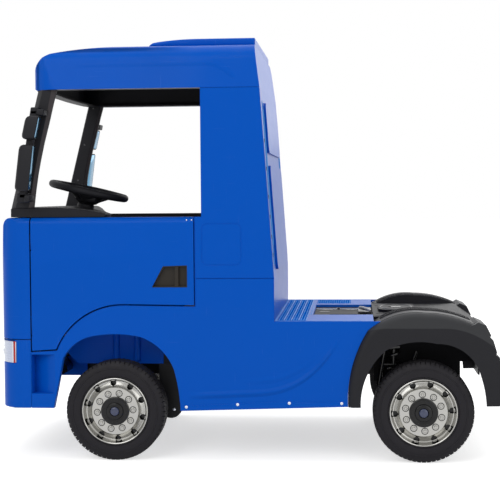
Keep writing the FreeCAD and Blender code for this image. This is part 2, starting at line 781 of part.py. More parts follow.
def cab_side():
    """Left panel behind the window, with the outline of a blind locker pressed into it."""
    panel = skin([
        (DOOR_REAR, WAIST_HEIGHT), (CAB_REAR, WAIST_HEIGHT), (CAB_TOP_REAR, ROOF_LINE),
        (WINDOW_REAR, ROOF_LINE), (WINDOW_REAR, SILL_HEIGHT), (DOOR_REAR, SILL_HEIGHT),
    ])
    low, high = [WAIST_HEIGHT + share * (SILL_HEIGHT - WAIST_HEIGHT) for share in EMBOSS_SHARES]
    rear = CAB_REAR - EMBOSS_REAR
    frame = outline("xz", [
        (WINDOW_REAR, low, PILLAR_STEP), (rear, low, PILLAR_STEP), (rear, high, PILLAR_STEP),
        (WINDOW_REAR, high, PILLAR_STEP),
    ])
    groove = extrude(frame, "xz", -SIDE - OVERRUN, -SIDE + EMBOSS_DEPTH)
    groove = groove.cut(extrude(frame.makeOffset2D(-EMBOSS_LINE), "xz", -SIDE - OVERRUN, SIDE))
    return panel.cut(groove)


def wall_slab(offset, thickness):
    """Sheet that follows the cab's rear wall, a distance behind its outer face."""
    foot = CAB_REAR + offset
    head = CAB_TOP_REAR + offset
    return prism("xz", [
        (foot, RAIL_TOP), (foot, WAIST_HEIGHT), (head, ROOF_LINE), (head - thickness, ROOF_LINE),
        (foot - thickness, WAIST_HEIGHT), (foot - thickness, RAIL_TOP),
    ], -INNER, INNER)


def cab_rear():
    """Rear wall with two raised fields."""
    raised = wall_slab(WALL_RAISE, WALL_RAISE + PANEL / 2)
    span = INNER * WALL_FIELD_SHARE
    pieces = [wall_slab(0, PANEL)]
    for low_share, high_share in WALL_FIELD_SHARES:
        low = WAIST_HEIGHT + low_share * (ROOF_LINE - WAIST_HEIGHT)
        high = WAIST_HEIGHT + high_share * (ROOF_LINE - WAIST_HEIGHT)
        field = prism("yz", [
            (-span, low, WALL_ROUND), (span, low, WALL_ROUND), (span, high, WALL_ROUND),
            (-span, high, WALL_ROUND),
        ], 0, CAB_REAR + OVERRUN)
        pieces.append(raised.common(field))
    return joined(pieces)


def pillar():
    """Left windscreen pillar."""
    outer = SIDE - PILLAR_INSET
    return prism("xz", [
        (PILLAR_FOOT_PLACE, DASH_TOP), (PILLAR_FOOT_PLACE + PILLAR_FOOT, DASH_TOP),
        (PILLAR_HEAD_PLACE + PILLAR_HEAD, ROOF_LINE), (PILLAR_HEAD_PLACE, ROOF_LINE),
    ], -outer, -outer + PILLAR_WIDTH)


def roof_form(inset, drop):
    """Roof's form: side outline, leaning cross-section and bowed plan, brought in by an inset."""
    base = ROOF_LINE - drop
    feet = scaled(ROOF_FOOT_SHARES, ROOF_FRONT, CAB_TOP_REAR, ROOF_LINE, ROOF_TOP)
    if drop:
        feet = [(ROOF_FRONT, base), (CAB_TOP_REAR, base)]
    crown = scaled(ROOF_SHARES, ROOF_FRONT, CAB_TOP_REAR, ROOF_LINE, ROOF_TOP)
    side_face = outline("xz", feet + crown)
    half_top = SIDE - ROOF_LEAN
    section = outline("yz", [
        (-SIDE, base), (SIDE, base), (SIDE, ROOF_LINE), (half_top, ROOF_TOP, ROOF_ROUND),
        (-half_top, ROOF_TOP, ROOF_ROUND), (-SIDE, ROOF_LINE),
    ])
    if inset:
        side_face = side_face.makeOffset2D(-inset)
        section = section.makeOffset2D(-inset)
    plan = bowed_plan(ROOF_FRONT, CAB_REAR, ROOF_CORNER, ROOF_BOW, inset)
    form = extrude(side_face, "xz", -SIDE, SIDE)
    form = form.common(extrude(section, "yz", FRONT, CAB_REAR))
    return form.common(extrude(plan, "xy", base - OVERRUN, ROOF_TOP + OVERRUN))


def roof_shell():
    """Hollow roof, open below."""
    return roof_form(0, 0).cut(roof_form(PANEL, OVERRUN))


def roof_liner():
    """Black lining inside the roof, with the flat rim that frames the windows."""
    gap = PANEL + TOUCH
    lining = roof_form(gap, OVERRUN).cut(roof_form(gap + LINER_WALL, OVERRUN + OVERRUN))
    top = ROOF_LINE + LINER_RIM_THICK
    rim = roof_form(gap, OVERRUN).common(
        extrude(bowed_plan(ROOF_FRONT, CAB_REAR, ROOF_CORNER, ROOF_BOW, 0), "xy", ROOF_LINE, top))
    hole = bowed_plan(ROOF_FRONT, CAB_TOP_REAR - LINER_RIM, ROOF_CORNER, ROOF_BOW, LINER_RIM)
    rim = rim.cut(extrude(hole, "xy", ROOF_LINE - OVERRUN, top + OVERRUN))
    lining = lining.common(box(FRONT, CAB_REAR, -SIDE, SIDE, ROOF_LINE, ROOF_TOP))
    return joined([lining, rim])


def roof_fairing():
    """Raised wind deflector on the rear of the roof."""
    rear = CAB_TOP_REAR - FAIRING_REAR
    half = SIDE - FAIRING_INSET
    return prism("xz", scaled(FAIRING_SHARES, rear - FAIRING_LENGTH, rear, ROOF_TOP, HEIGHT), -half, half)


def by_pillar(rise, behind):
    """Point beside the pillar: a share of its height, and a distance behind its front edge."""
    front = PILLAR_FOOT_PLACE + rise * (PILLAR_HEAD_PLACE - PILLAR_FOOT_PLACE)
    return front + behind, DASH_TOP + rise * (ROOF_LINE - DASH_TOP)


def mirror_body(low, high):
    """Left mirror housing that leans with the pillar."""
    return prism("xz", [
        by_pillar(low, 0) + (MIRROR_ROUND,), by_pillar(low, MIRROR_THICK),
        by_pillar(high, MIRROR_THICK), by_pillar(high, 0) + (MIRROR_ROUND,),
    ], -MIRROR_SIDE, -MIRROR_SIDE + MIRROR_WIDTH)


def mirror_arm(low, high):
    """Bracket from the pillar out to the mirrors."""
    return prism("xz", [
        by_pillar(low, 0), by_pillar(low, MIRROR_THICK), by_pillar(high, MIRROR_THICK),
        by_pillar(high, 0),
    ], -MIRROR_SIDE + MIRROR_WIDTH / 2, -SIDE + PILLAR_INSET)


def mirror():
    """Left pair of mirror housings on one stalk between two brackets."""
    middle = MIRROR_SIDE - MIRROR_WIDTH / 2
    foot = MIRROR_FOOT_SHARES[0]
    head = MIRROR_ARM_SHARES[-1]
    stalk = prism("xz", [
        by_pillar(foot, MIRROR_ROUND), by_pillar(foot, MIRROR_THICK - MIRROR_ROUND),
        by_pillar(head, MIRROR_THICK - MIRROR_ROUND), by_pillar(head, MIRROR_ROUND),
    ], -middle - MIRROR_ROUND, -middle + MIRROR_ROUND)
    return joined([
        stalk, mirror_body(*MIRROR_LOWER_SHARES), mirror_body(*MIRROR_UPPER_SHARES),
        mirror_arm(*MIRROR_FOOT_SHARES), mirror_arm(*MIRROR_ARM_SHARES),
    ])


def mirror_face(low, high):
    """Reflecting plate on the rear of a left mirror housing."""
    low = low + MIRROR_MARGIN_SHARE
    high = high - MIRROR_MARGIN_SHARE
    back = MIRROR_THICK + MIRROR_FACE
    outer = MIRROR_SIDE - MIRROR_ROUND
    return prism("xz", [
        by_pillar(low, MIRROR_THICK), by_pillar(low, back), by_pillar(high, back),
        by_pillar(high, MIRROR_THICK),
    ], -outer, -outer + MIRROR_WIDTH - MIRROR_ROUND - MIRROR_ROUND)


def on_column(shape):
    """Move a piece modelled round the Z axis at the origin to the steering column."""
    shape.rotate(FreeCAD.Vector(0, 0, 0), AXES["xz"], WHEEL_TILT)
    shape.translate(FreeCAD.Vector(station(WHEEL_CENTRE_SHARE), -WHEEL_SIDE_SHARE * SIDE,
                                   DASH_TOP + WHEEL_RISE))
    return shape


def steering_wheel():
    """Rim, spokes, hub and the shaft that turns in the dashboard."""
    grip = outline("xz", ring_of(WHEEL_FACETS, WHEEL_GRIP, WHEEL_RIM, 0, 0))
    rim = grip.revolve(FreeCAD.Vector(0, 0, 0), AXES["xy"], FULL_TURN)
    hub = rod("xy", 0, 0, WHEEL_HUB, -WHEEL_HUB_DROP, -WHEEL_GRIP)
    pieces = [rim, hub, rod("xy", 0, 0, COLUMN_RADIUS, -COLUMN_LENGTH, -WHEEL_HUB_DROP)]
    for i in range(WHEEL_SPOKES):
        spoke = prism("xz", [
            (0, -WHEEL_HUB_DROP), (WHEEL_HUB, -WHEEL_HUB_DROP), (WHEEL_RIM, -WHEEL_SPOKE_THICK / 2),
            (WHEEL_RIM, WHEEL_SPOKE_THICK / 2), (WHEEL_HUB, -WHEEL_GRIP), (0, -WHEEL_GRIP),
        ], -WHEEL_SPOKE / 2, WHEEL_SPOKE / 2)
        spoke.rotate(FreeCAD.Vector(0, 0, 0), AXES["xy"], i * FULL_TURN / WHEEL_SPOKES)
        pieces.append(spoke)
    return on_column(joined(pieces))


def dashboard():
    """Dashboard and windscreen cowl in one moulding, with the steering column's shroud."""
    foot = PILLAR_FOOT_PLACE - DASH_INSET
    rear = station(DASH_REAR_SHARE)
    shelf = prism("xz", scaled(DASH_SHARES, FRONT_SEAM, rear, DASH_LOW, DASH_TOP), -DASH_HALF, DASH_HALF)
    cowl_half = SIDE - PILLAR_INSET
    cowl = prism("xz", [
        (foot, SILL_HEIGHT), (foot + DASH_INSET, DASH_TOP), (FRONT_SEAM, DASH_TOP),
        (FRONT_SEAM, SILL_HEIGHT),
    ], -cowl_half, cowl_half)
    plan = bowed_plan(foot - PILLAR_INSET, CAB_REAR, FRONT_CORNER, FRONT_BOW, DASH_INSET)
    cowl = cowl.common(extrude(plan, "xy", 0, ROOF_LINE))
    shroud = on_column(Part.makeCone(SHROUD_RADIUS, SHROUD_TOP_RADIUS, COLUMN_LENGTH - SHROUD_DROP,
                                     FreeCAD.Vector(0, 0, -COLUMN_LENGTH)))
    bore = on_column(rod("xy", 0, 0, COLUMN_RADIUS + COLUMN_FIT, -COLUMN_LENGTH - TOUCH, OVERRUN))
    return joined([shelf, cowl, shroud]).cut(bore)


def tub():
    """Floor tub: foot well between the wheels, shelves over them, firewall and seat box."""
    wall_rear = CAB_REAR - PANEL
    profile = [
        (TUB_FRONT, TUB_SHELF + PANEL), (TUB_FRONT, TUB_FLOOR + TUB_SLOPE), (TUB_FRONT + TUB_SLOPE, TUB_FLOOR),
        (TUB_REAR, TUB_FLOOR), (TUB_REAR, TUB_SHELF + PANEL),
    ]
    trough = prism("xz", profile, -TUB_HALF, TUB_HALF)
    hollow = extrude(outline("xz", profile).makeOffset2D(-PANEL), "xz", -TUB_HALF + PANEL,
                     TUB_HALF - PANEL)
    lifted = hollow.copy()
    lifted.translate(AXES["xy"] * OVERRUN)
    trough = trough.cut([hollow, lifted])
    notch = ARCH_FRONT + OVERRUN + OVERRUN
    shelf = prism("xy", [
        (TUB_FRONT, -DASH_HALF), (notch, -DASH_HALF), (notch, -INNER), (SHELF_REAR, -INNER),
        (SHELF_REAR, INNER), (notch, INNER), (notch, DASH_HALF), (TUB_FRONT, DASH_HALF),
    ], TUB_SHELF, TUB_SHELF + PANEL)
    shelf = shelf.cut(box(TUB_FRONT, TUB_REAR - PANEL, -TUB_HALF + PANEL, TUB_HALF - PANEL, TUB_FLOOR,
                          SILL_HEIGHT))
    firewall = box(TUB_FRONT, TUB_FRONT + PANEL, -DASH_HALF, DASH_HALF, TUB_SHELF, DASH_LOW)
    riser = box(SHELF_REAR - PANEL, SHELF_REAR, -INNER, INNER, TUB_SHELF, SEAT_DECK)
    seat_deck = box(SHELF_REAR - PANEL, wall_rear, -INNER, INNER, SEAT_DECK - PANEL, SEAT_DECK)
    pieces = [trough, shelf, firewall, riser, seat_deck]
    for share in TUB_RIB_SHARES:
        for side in (-TUB_HALF, TUB_HALF):
            pieces.append(rod("xy", station(share), side, TUB_RIB, TUB_FLOOR + TUB_RIB, TUB_SHELF))
    return joined(pieces)


def pedal():
    """Accelerator pedal, a wedge on the slope at the foot well's front."""
    wall = TUB_FRONT + PANEL + TOUCH
    slope = TUB_FRONT + TUB_FLOOR + TUB_SLOPE + math.hypot(PANEL, PANEL) + TOUCH
    toe = TUB_FRONT + PEDAL_REACH
    low, high = [share * TUB_HALF for share in PEDAL_SHARES]
    return prism("xz", [
        (wall, slope - wall), (toe, slope - toe), (toe + PANEL, slope - toe + PANEL),
        (wall + PANEL, slope - wall + PEDAL_HEIGHT), (wall, slope - wall + PEDAL_HEIGHT),
    ], low, high)


def seat():
    """Moulded bench seat with its low back."""
    rear = CAB_REAR - PANEL - SEAT_CUSHION / 2
    half = SIDE - SEAT_SIDE
    corners = scaled(SEAT_SHARES, station(SEAT_FRONT_SHARE), rear, SEAT_DECK, SEAT_BACK_TOP)
    return prism("xz", corners, -half, half)


def rails():
    """Two box-section rails."""
    front = FRONT + SEAM + PANEL + BACKING + FRONT_BOW / 2
    rear = REAR - RAIL_SETBACK
    pieces = []
    for low, high in ((-RAIL_OUTER, -RAIL_INNER), (RAIL_INNER, RAIL_OUTER)):
        rail = box(front, rear, low, high, RAIL_LOW, RAIL_TOP)
        pieces.append(rail.cut(box(front - OVERRUN, rear + OVERRUN, low + RAIL_WALL, high - RAIL_WALL,
                                   RAIL_LOW + RAIL_WALL, RAIL_TOP - RAIL_WALL)))
    return pieces


def cross_members():
    """Bars between the rails."""
    places = [station(share) for share in CROSS_SHARES]
    return [box(place - CROSS_HALF, place + CROSS_HALF, -RAIL_INNER, RAIL_INNER,
                RAIL_LOW + RAIL_WALL, RAIL_TOP - RAIL_WALL) for place in places]


def outriggers():
    """Plates that carry the body's sides from the rails."""
    pieces = []
    for share in OUTRIGGER_SHARES:
        place = station(share)
        for low, high in ((-INNER, -RAIL_OUTER), (RAIL_OUTER, INNER)):
            pieces.append(box(place - OUTRIGGER_HALF, place + OUTRIGGER_HALF, low, high,
                              OUTRIGGER_LOW, RAIL_TOP))
    return pieces


def bracket():
    """Left hanging plate behind the front wheel, on an arm from the rail."""
    plate = prism("xz", [
        (BRACKET_PLACE - BRACKET_HALF, BRACKET_ROUND),
        (VIA, BRACKET_PLACE, BRACKET_ROUND - BRACKET_HALF),
        (BRACKET_PLACE + BRACKET_HALF, BRACKET_ROUND), (BRACKET_PLACE + BRACKET_HALF, RAIL_TOP),
        (BRACKET_PLACE - BRACKET_HALF, RAIL_TOP),
    ], -BRACKET_OUTER, -BRACKET_INNER)
    arm = box(BRACKET_PLACE - BRACKET_ARM, BRACKET_PLACE + BRACKET_ARM, -BRACKET_INNER, -RAIL_OUTER,
              RAIL_LOW, RAIL_LOW + BRACKET_ARM + BRACKET_ARM)
    return joined([plate, arm])


def battery_tray():
    """Black tray on the rails: a floor under the battery and a box for the wiring ahead of it."""
    front = TUB_REAR + TOUCH
    rear = front + TRAY_LENGTH
    case = box(front, rear, -BRACKET_OUTER, BRACKET_OUTER, RAIL_TOP, TRAY_TOP)
    hollow = box(front + TRAY_WALL, rear + OVERRUN, -BRACKET_OUTER + TRAY_WALL,
                 BRACKET_OUTER - TRAY_WALL, RAIL_TOP + TRAY_WALL, TRAY_TOP - TRAY_WALL)
    floor = box(front, CAB_REAR - PANEL - TOUCH, -RAIL_OUTER, RAIL_OUTER, RAIL_TOP,
                RAIL_TOP + TRAY_WALL)
    return joined([case.cut(hollow), floor])


def battery():
    """Battery, one plain block on its tray under the seat."""
    start = station(BATTERY_SHARE)
    low = RAIL_TOP + TRAY_WALL
    return box(start, start + BATTERY_LENGTH, -RAIL_OUTER, RAIL_OUTER, low, low + BATTERY_HEIGHT)


def front_axle():
    """Front beam hung from the rails, with an eye for each kingpin."""
    beam = box(FRONT_AXLE - BEAM_HALF, FRONT_AXLE + BEAM_HALF, -KINGPIN_SIDE, KINGPIN_SIDE,
               HUB_HEIGHT - BEAM_HALF, HUB_HEIGHT + BEAM_HALF)
    pieces = [beam]
    bores = []
    for side in (-KINGPIN_SIDE, KINGPIN_SIDE):
        pieces.append(rod("xy", FRONT_AXLE, side, EYE_RADIUS, HUB_HEIGHT - EYE_HEIGHT / 2,
                          HUB_HEIGHT + EYE_HEIGHT / 2))
        bores.append(rod("xy", FRONT_AXLE, side, KINGPIN_RADIUS + AXLE_FIT, 0, DECK_HEIGHT))
    for low, high in ((-RAIL_OUTER, -RAIL_INNER), (RAIL_INNER, RAIL_OUTER)):
        pieces.append(box(FRONT_AXLE - BEAM_HALF, FRONT_AXLE + BEAM_HALF, low, high, HUB_HEIGHT, RAIL_LOW))
    return joined(pieces).cut(bores)


def knuckle():
    """Left steering knuckle: fork, kingpin, stub axle with its nut, and steering arm with its pin."""
    half_height = EYE_HEIGHT / 2 + FORK_GAP
    web_inner = KINGPIN_SIDE + EYE_RADIUS + FORK_SETBACK
    web_outer = web_inner + FORK_WEB
    pieces = [box(FRONT_AXLE - FORK_HALF, FRONT_AXLE + FORK_HALF, -web_outer, -web_inner,
                  HUB_HEIGHT - half_height - FORK_PLATE, HUB_HEIGHT + half_height + FORK_PLATE)]
    for low in (HUB_HEIGHT - half_height - FORK_PLATE, HUB_HEIGHT + half_height):
        pieces.append(box(FRONT_AXLE - FORK_HALF, FRONT_AXLE + FORK_HALF, -web_outer, -KINGPIN_SIDE,
                          low, low + FORK_PLATE))
        pieces.append(rod("xy", FRONT_AXLE, -KINGPIN_SIDE, FORK_HALF, low, low + FORK_PLATE))
    pieces.append(rod("xy", FRONT_AXLE, -KINGPIN_SIDE, KINGPIN_RADIUS,
                      HUB_HEIGHT - half_height - FORK_PLATE, HUB_HEIGHT + half_height + FORK_PLATE))
    nut_outer = TYRE_FACE - AXLE_NUT
    pieces.append(rod("xz", FRONT_AXLE, HUB_HEIGHT, AXLE_RADIUS, -nut_outer, -web_inner))
    pieces.append(rod("xz", FRONT_AXLE, HUB_HEIGHT, AXLE_NUT, -nut_outer, -nut_outer + AXLE_NUT_WIDTH))
    arm_low = HUB_HEIGHT - half_height - FORK_PLATE
    arm_end = FRONT_AXLE + ARM_REACH
    pieces.append(box(FRONT_AXLE, arm_end, -KINGPIN_SIDE - ARM_HALF, -KINGPIN_SIDE + ARM_HALF,
                      arm_low, arm_low + FORK_PLATE))
    pieces.append(rod("xy", arm_end, -KINGPIN_SIDE, ARM_HALF, arm_low, arm_low + FORK_PLATE))
    pieces.append(rod("xy", arm_end, -KINGPIN_SIDE, ROD_PIN, arm_low,
                      arm_low + FORK_PLATE + TOUCH + ROD_THICK + ROD_PIN))
    return joined(pieces)


def tie_rod():
    """Tie rod across the toy, with a slotted eye over each steering arm's pin."""
    low = HUB_HEIGHT - EYE_HEIGHT / 2 - FORK_GAP + TOUCH
    high = low + ROD_THICK
    place = FRONT_AXLE + ARM_REACH
    pieces = [box(place - ROD_HALF, place + ROD_HALF, -KINGPIN_SIDE, KINGPIN_SIDE, low, high)]
    slots = []
    for side in (-KINGPIN_SIDE, KINGPIN_SIDE):
        for shift in (-ROD_TRAVEL, 0):
            pieces.append(rod("xy", place + shift, side, ROD_EYE, low, high))
            slots.append(rod("xy", place + shift, side, ROD_SLOT, low - OVERRUN, high + OVERRUN))
        slots.append(box(place - ROD_TRAVEL, place, side - ROD_SLOT, side + ROD_SLOT,
                         low - OVERRUN, high + OVERRUN))
    return joined(pieces).cut(slots)


def tyre(axle_x):
    """Left tyre with two grooves round its tread."""
    corners = scaled(TYRE_SHARES, -TYRE_FACE, -TYRE_FACE + TYRE_WIDTH, TYRE_BEAD, TYRE_RADIUS)
    return turned(corners, axle_x, HUB_HEIGHT)


def rim(axle_x):
    """Left dished rim with hand holes, wheel nuts and the hub tube."""
    inner = -TYRE_FACE + TYRE_WIDTH
    corners = scaled(RIM_SHARES, -TYRE_FACE, inner, AXLE_RADIUS + AXLE_FIT, RIM_RADIUS)
    corners += [
        (inner, TYRE_BEAD - TOUCH), (-TYRE_FACE + RIM_LIP, TYRE_BEAD - TOUCH),
        (-TYRE_FACE + RIM_LIP, RIM_RADIUS),
    ]
    hub = rod("xz", axle_x, HUB_HEIGHT, HUB_RADIUS, -TYRE_FACE + PANEL, inner)
    body = joined([turned(corners, axle_x, HUB_HEIGHT), hub])
    nut_space = -TYRE_FACE + AXLE_NUT + AXLE_NUT_WIDTH + TOUCH
    cuts = [
        rod("xz", axle_x, HUB_HEIGHT, AXLE_RADIUS + AXLE_FIT, -TYRE_FACE - OVERRUN, 0),
        rod("xz", axle_x, HUB_HEIGHT, AXLE_NUT + TOUCH, -TYRE_FACE - OVERRUN, nut_space),
    ]
    for x, z in ring_of(HAND_HOLES, HAND_HOLE_CIRCLE, axle_x, HUB_HEIGHT, 0):
        cuts.append(rod("xz", x, z, HAND_HOLE_RADIUS, -TYRE_FACE - OVERRUN,
                        -TYRE_FACE + TYRE_WIDTH * HAND_HOLE_SHARE))
    pieces = [body.cut(cuts)]
    face = -TYRE_FACE + TYRE_WIDTH * RIM_FACE_SHARE
    for x, z in ring_of(NUT_COUNT, NUT_CIRCLE, axle_x, HUB_HEIGHT, FULL_TURN / NUT_COUNT / 2):
        nut = ring_of(NUT_SIDES, NUT_RADIUS, x, z, 0)
        pieces.append(prism("xz", nut, face - NUT_HEIGHT + TOUCH, face + RIM_WALL / 2))
    return joined(pieces)


def hubcap(axle_x):
    """Left stepped hub cap."""
    face = -TYRE_FACE + TYRE_WIDTH * RIM_FACE_SHARE
    corners = scaled(CAP_SHARES, face - CAP_HEIGHT, face - CAP_CLEAR, 0, CAP_RADIUS)
    return turned(corners, axle_x, HUB_HEIGHT)


def rear_axle():
    """Rear shaft with its end nuts and the hangers that carry it under the rails."""
    nut_outer = TYRE_FACE - AXLE_NUT
    pieces = [rod("xz", REAR_AXLE, HUB_HEIGHT, AXLE_RADIUS, -nut_outer, nut_outer)]
    for side in (-nut_outer, nut_outer - AXLE_NUT_WIDTH):
        pieces.append(rod("xz", REAR_AXLE, HUB_HEIGHT, AXLE_NUT, side, side + AXLE_NUT_WIDTH))
    for low, high in ((-RAIL_OUTER, -RAIL_INNER), (RAIL_INNER, RAIL_OUTER)):
        pieces.append(prism("xz", [
            (REAR_AXLE - HANGER_HALF, RAIL_LOW), (REAR_AXLE - AXLE_NUT, HUB_HEIGHT - AXLE_NUT, AXLE_RADIUS),
            (REAR_AXLE + AXLE_NUT, HUB_HEIGHT - AXLE_NUT, AXLE_RADIUS), (REAR_AXLE + HANGER_HALF, RAIL_LOW),
        ], low, high))
    return joined(pieces)


def gearbox():
    """Left drive unit on the rear shaft: reduction gear housing with its motor."""
    motor_x = REAR_AXLE - MOTOR_AHEAD
    motor_z = HUB_HEIGHT + MOTOR_RISE
    web = prism("xz", [
        (REAR_AXLE, HUB_HEIGHT - GEARBOX_RADIUS), (REAR_AXLE, HUB_HEIGHT + GEARBOX_RADIUS),
        (motor_x, motor_z + MOTOR_RADIUS), (motor_x, motor_z - MOTOR_RADIUS),
    ], -GEARBOX_OUTER, -GEARBOX_INNER)
    body = joined([
        rod("xz", REAR_AXLE, HUB_HEIGHT, GEARBOX_RADIUS, -GEARBOX_OUTER, -GEARBOX_INNER),
        rod("xz", motor_x, motor_z, MOTOR_RADIUS, -GEARBOX_OUTER, -MOTOR_INNER), web,
    ])
    return body.cut(rod("xz", REAR_AXLE, HUB_HEIGHT, AXLE_RADIUS + TOUCH, -SIDE, 0))


def deck():
    """Ribbed deck behind the cab with the sunken tray for the slide plate."""
    low = DECK_HEIGHT - PANEL
    tray_front = station(TRAY_SHARE)
    tray_low = DECK_HEIGHT - RECESS_DEPTH
    pieces = [
        box(CAB_REAR, DECK_REAR, -INNER, INNER, low, DECK_HEIGHT),
        box(tray_front - PANEL, DECK_REAR, -RECESS_HALF - PANEL, RECESS_HALF + PANEL,
            tray_low - PANEL, DECK_HEIGHT),
    ]
    rib_half = INNER - DECK_RIB_SIDE
    for i in range(DECK_RIBS):
        place = CAB_REAR + DECK_RIB_START + i * DECK_RIB_PITCH
        pieces.append(box(place - DECK_RIB_WIDTH / 2, place + DECK_RIB_WIDTH / 2, -rib_half, rib_half,
                          low, DECK_HEIGHT + DECK_RIB_RISE))
    hollow = box(tray_front, DECK_REAR + OVERRUN, -RECESS_HALF, RECESS_HALF, tray_low,
                 DECK_HEIGHT + OVERRUN)
    return joined(pieces).cut(hollow)


def slide_plate():
    """Black plate in the deck's tray, with two oblong slots."""
    front = station(TRAY_SHARE) + TOUCH
    low = DECK_HEIGHT - RECESS_DEPTH
    half = RECESS_HALF - TOUCH
    plate = box(front, DECK_REAR, -half, half, low, low + PLATE_THICK)
    middle = (front + DECK_REAR) / 2
    reach = PLATE_SLOT_LENGTH / 2
    slots = []
    for side in (-PLATE_SLOT_SHARE * SIDE, PLATE_SLOT_SHARE * SIDE):
        slots.append(prism("xy", [
            (middle - reach, side - PLATE_SLOT_HALF), (middle + reach, side - PLATE_SLOT_HALF),
            (VIA, middle + reach + PLATE_SLOT_HALF, side), (middle + reach, side + PLATE_SLOT_HALF),
            (middle - reach, side + PLATE_SLOT_HALF), (VIA, middle - reach - PLATE_SLOT_HALF, side),
        ], low + PLATE_THICK / 2, low + PLATE_THICK + OVERRUN))
    return plate.cut(slots)


def tail_face(front, low):
    """Side face of the tail cover's top and rear wall, down to a height."""
    return outline("xz", [
        (front, low), (front, DECK_HEIGHT), (TAIL_REAR - TAIL_KNEE, DECK_HEIGHT, TAIL_ROUND),
        (TAIL_REAR, DECK_HEIGHT - TAIL_DROP, TAIL_ROUND), (TAIL_REAR, low),
    ])


def tail_cover():
    """Black cover between the mudguards, open below and in front, with its rear wall."""
    half = GUARD_INNER - TOUCH
    inner = TAIL_REAR - TAIL_WALL
    form = extrude(tail_face(DECK_REAR + TOUCH, TAIL_LOW), "xz", -half, half)
    hollow = extrude(tail_face(CAB_REAR, 0).makeOffset2D(-TAIL_WALL), "xz", -half + TAIL_WALL,
                     half - TAIL_WALL)
    notch = box(TAIL_REAR - TAIL_NOTCH_LENGTH, inner, -half, half, 0, TAIL_NOTCH)
    foot = box(inner, REAR, -half, half, 0, TAIL_FOOT)
    socket = rod("xy", REAR_AXLE - SOCKET_AHEAD, 0, SOCKET_RADIUS, RAIL_TOP, DECK_HEIGHT + OVERRUN)
    return form.cut([hollow, notch, foot, socket])


def coupling_plate():
    """Oblong coupling plate with its socket for a trailer's pin."""
    place = REAR_AXLE - COUPLING_AHEAD
    reach = COUPLING_LENGTH / 2
    half = COUPLING_WIDTH / 2
    plate = prism("xy", [
        (place - reach, -half, COUPLING_ROUND), (place + reach, -half, COUPLING_ROUND),
        (place + reach, half, COUPLING_ROUND), (place - reach, half, COUPLING_ROUND),
    ], DECK_HEIGHT, DECK_HEIGHT + COUPLING_THICK)
    return plate.cut(rod("xy", REAR_AXLE - SOCKET_AHEAD, 0, SOCKET_RADIUS, 0, HEIGHT))


def tail_lamp():
    """Left tail lamp on the rear wall."""
    low, high = [share * GUARD_INNER for share in TAIL_LAMP_SHARES]
    return box(TAIL_REAR, TAIL_REAR + TAIL_LAMP_DEPTH, low, high, TAIL_LAMP_LOW,
               TAIL_LAMP_LOW + TAIL_LAMP_HEIGHT)


def mudguard():
    """Left rear mudguard: crown, outer cheek with the wheel opening, and a shallow inner cheek."""
    face = guard_face(0)
    form = extrude(face, "xz", -GUARD_OUTER, -GUARD_INNER)
    rounded = []
    for edge in form.Edges:
        middle = edge.valueAt((edge.FirstParameter + edge.LastParameter) / 2)
        on_outer = abs(middle.y + GUARD_OUTER) < TOUCH and middle.z > GUARD_FOOT + OVERRUN
        if on_outer and middle.x < REAR_AXLE + TYRE_RADIUS:
            rounded.append(edge)
    form = form.makeFillet(GUARD_ROUND, rounded)
    cavity = face.makeOffset2D(-GUARD_WALL)
    hollow = extrude(cavity, "xz", -GUARD_OUTER + GUARD_WALL, -GUARD_INNER + OVERRUN)
    lowered = hollow.copy()
    lowered.translate(AXES["xy"] * -(GUARD_WALL + GUARD_WALL))
    opening = prism("xz", scaled(GUARD_OPENING_SHARES, GUARD_FRONT, REAR, GUARD_FOOT, GUARD_TOP),
                    -SIDE - OVERRUN, -GUARD_INNER + OVERRUN)
    shell = form.cut([hollow, lowered, opening])
    lip = extrude(face, "xz", -GUARD_INNER - GUARD_WALL, -GUARD_INNER)
    lip = lip.cut(extrude(face.makeOffset2D(-GUARD_INNER_LIP), "xz", -SIDE, 0))
    lip = lip.common(box(DECK_REAR, REAR, -SIDE, 0, GUARD_LIP_LOW, GUARD_TOP))
    return joined([shell, lip])


def wheels():
    """Four wheels, each a tyre, a rim and a hub cap."""
    for place, axle_x in (("front", FRONT_AXLE), ("rear", REAR_AXLE)):
        for piece, solid in (("tyre", tyre(axle_x)), ("rim", rim(axle_x)), ("hubcap", hubcap(axle_x))):
            save(piece + "_" + place + "_left", solid)
            save(piece + "_" + place + "_right", mirrored(solid))


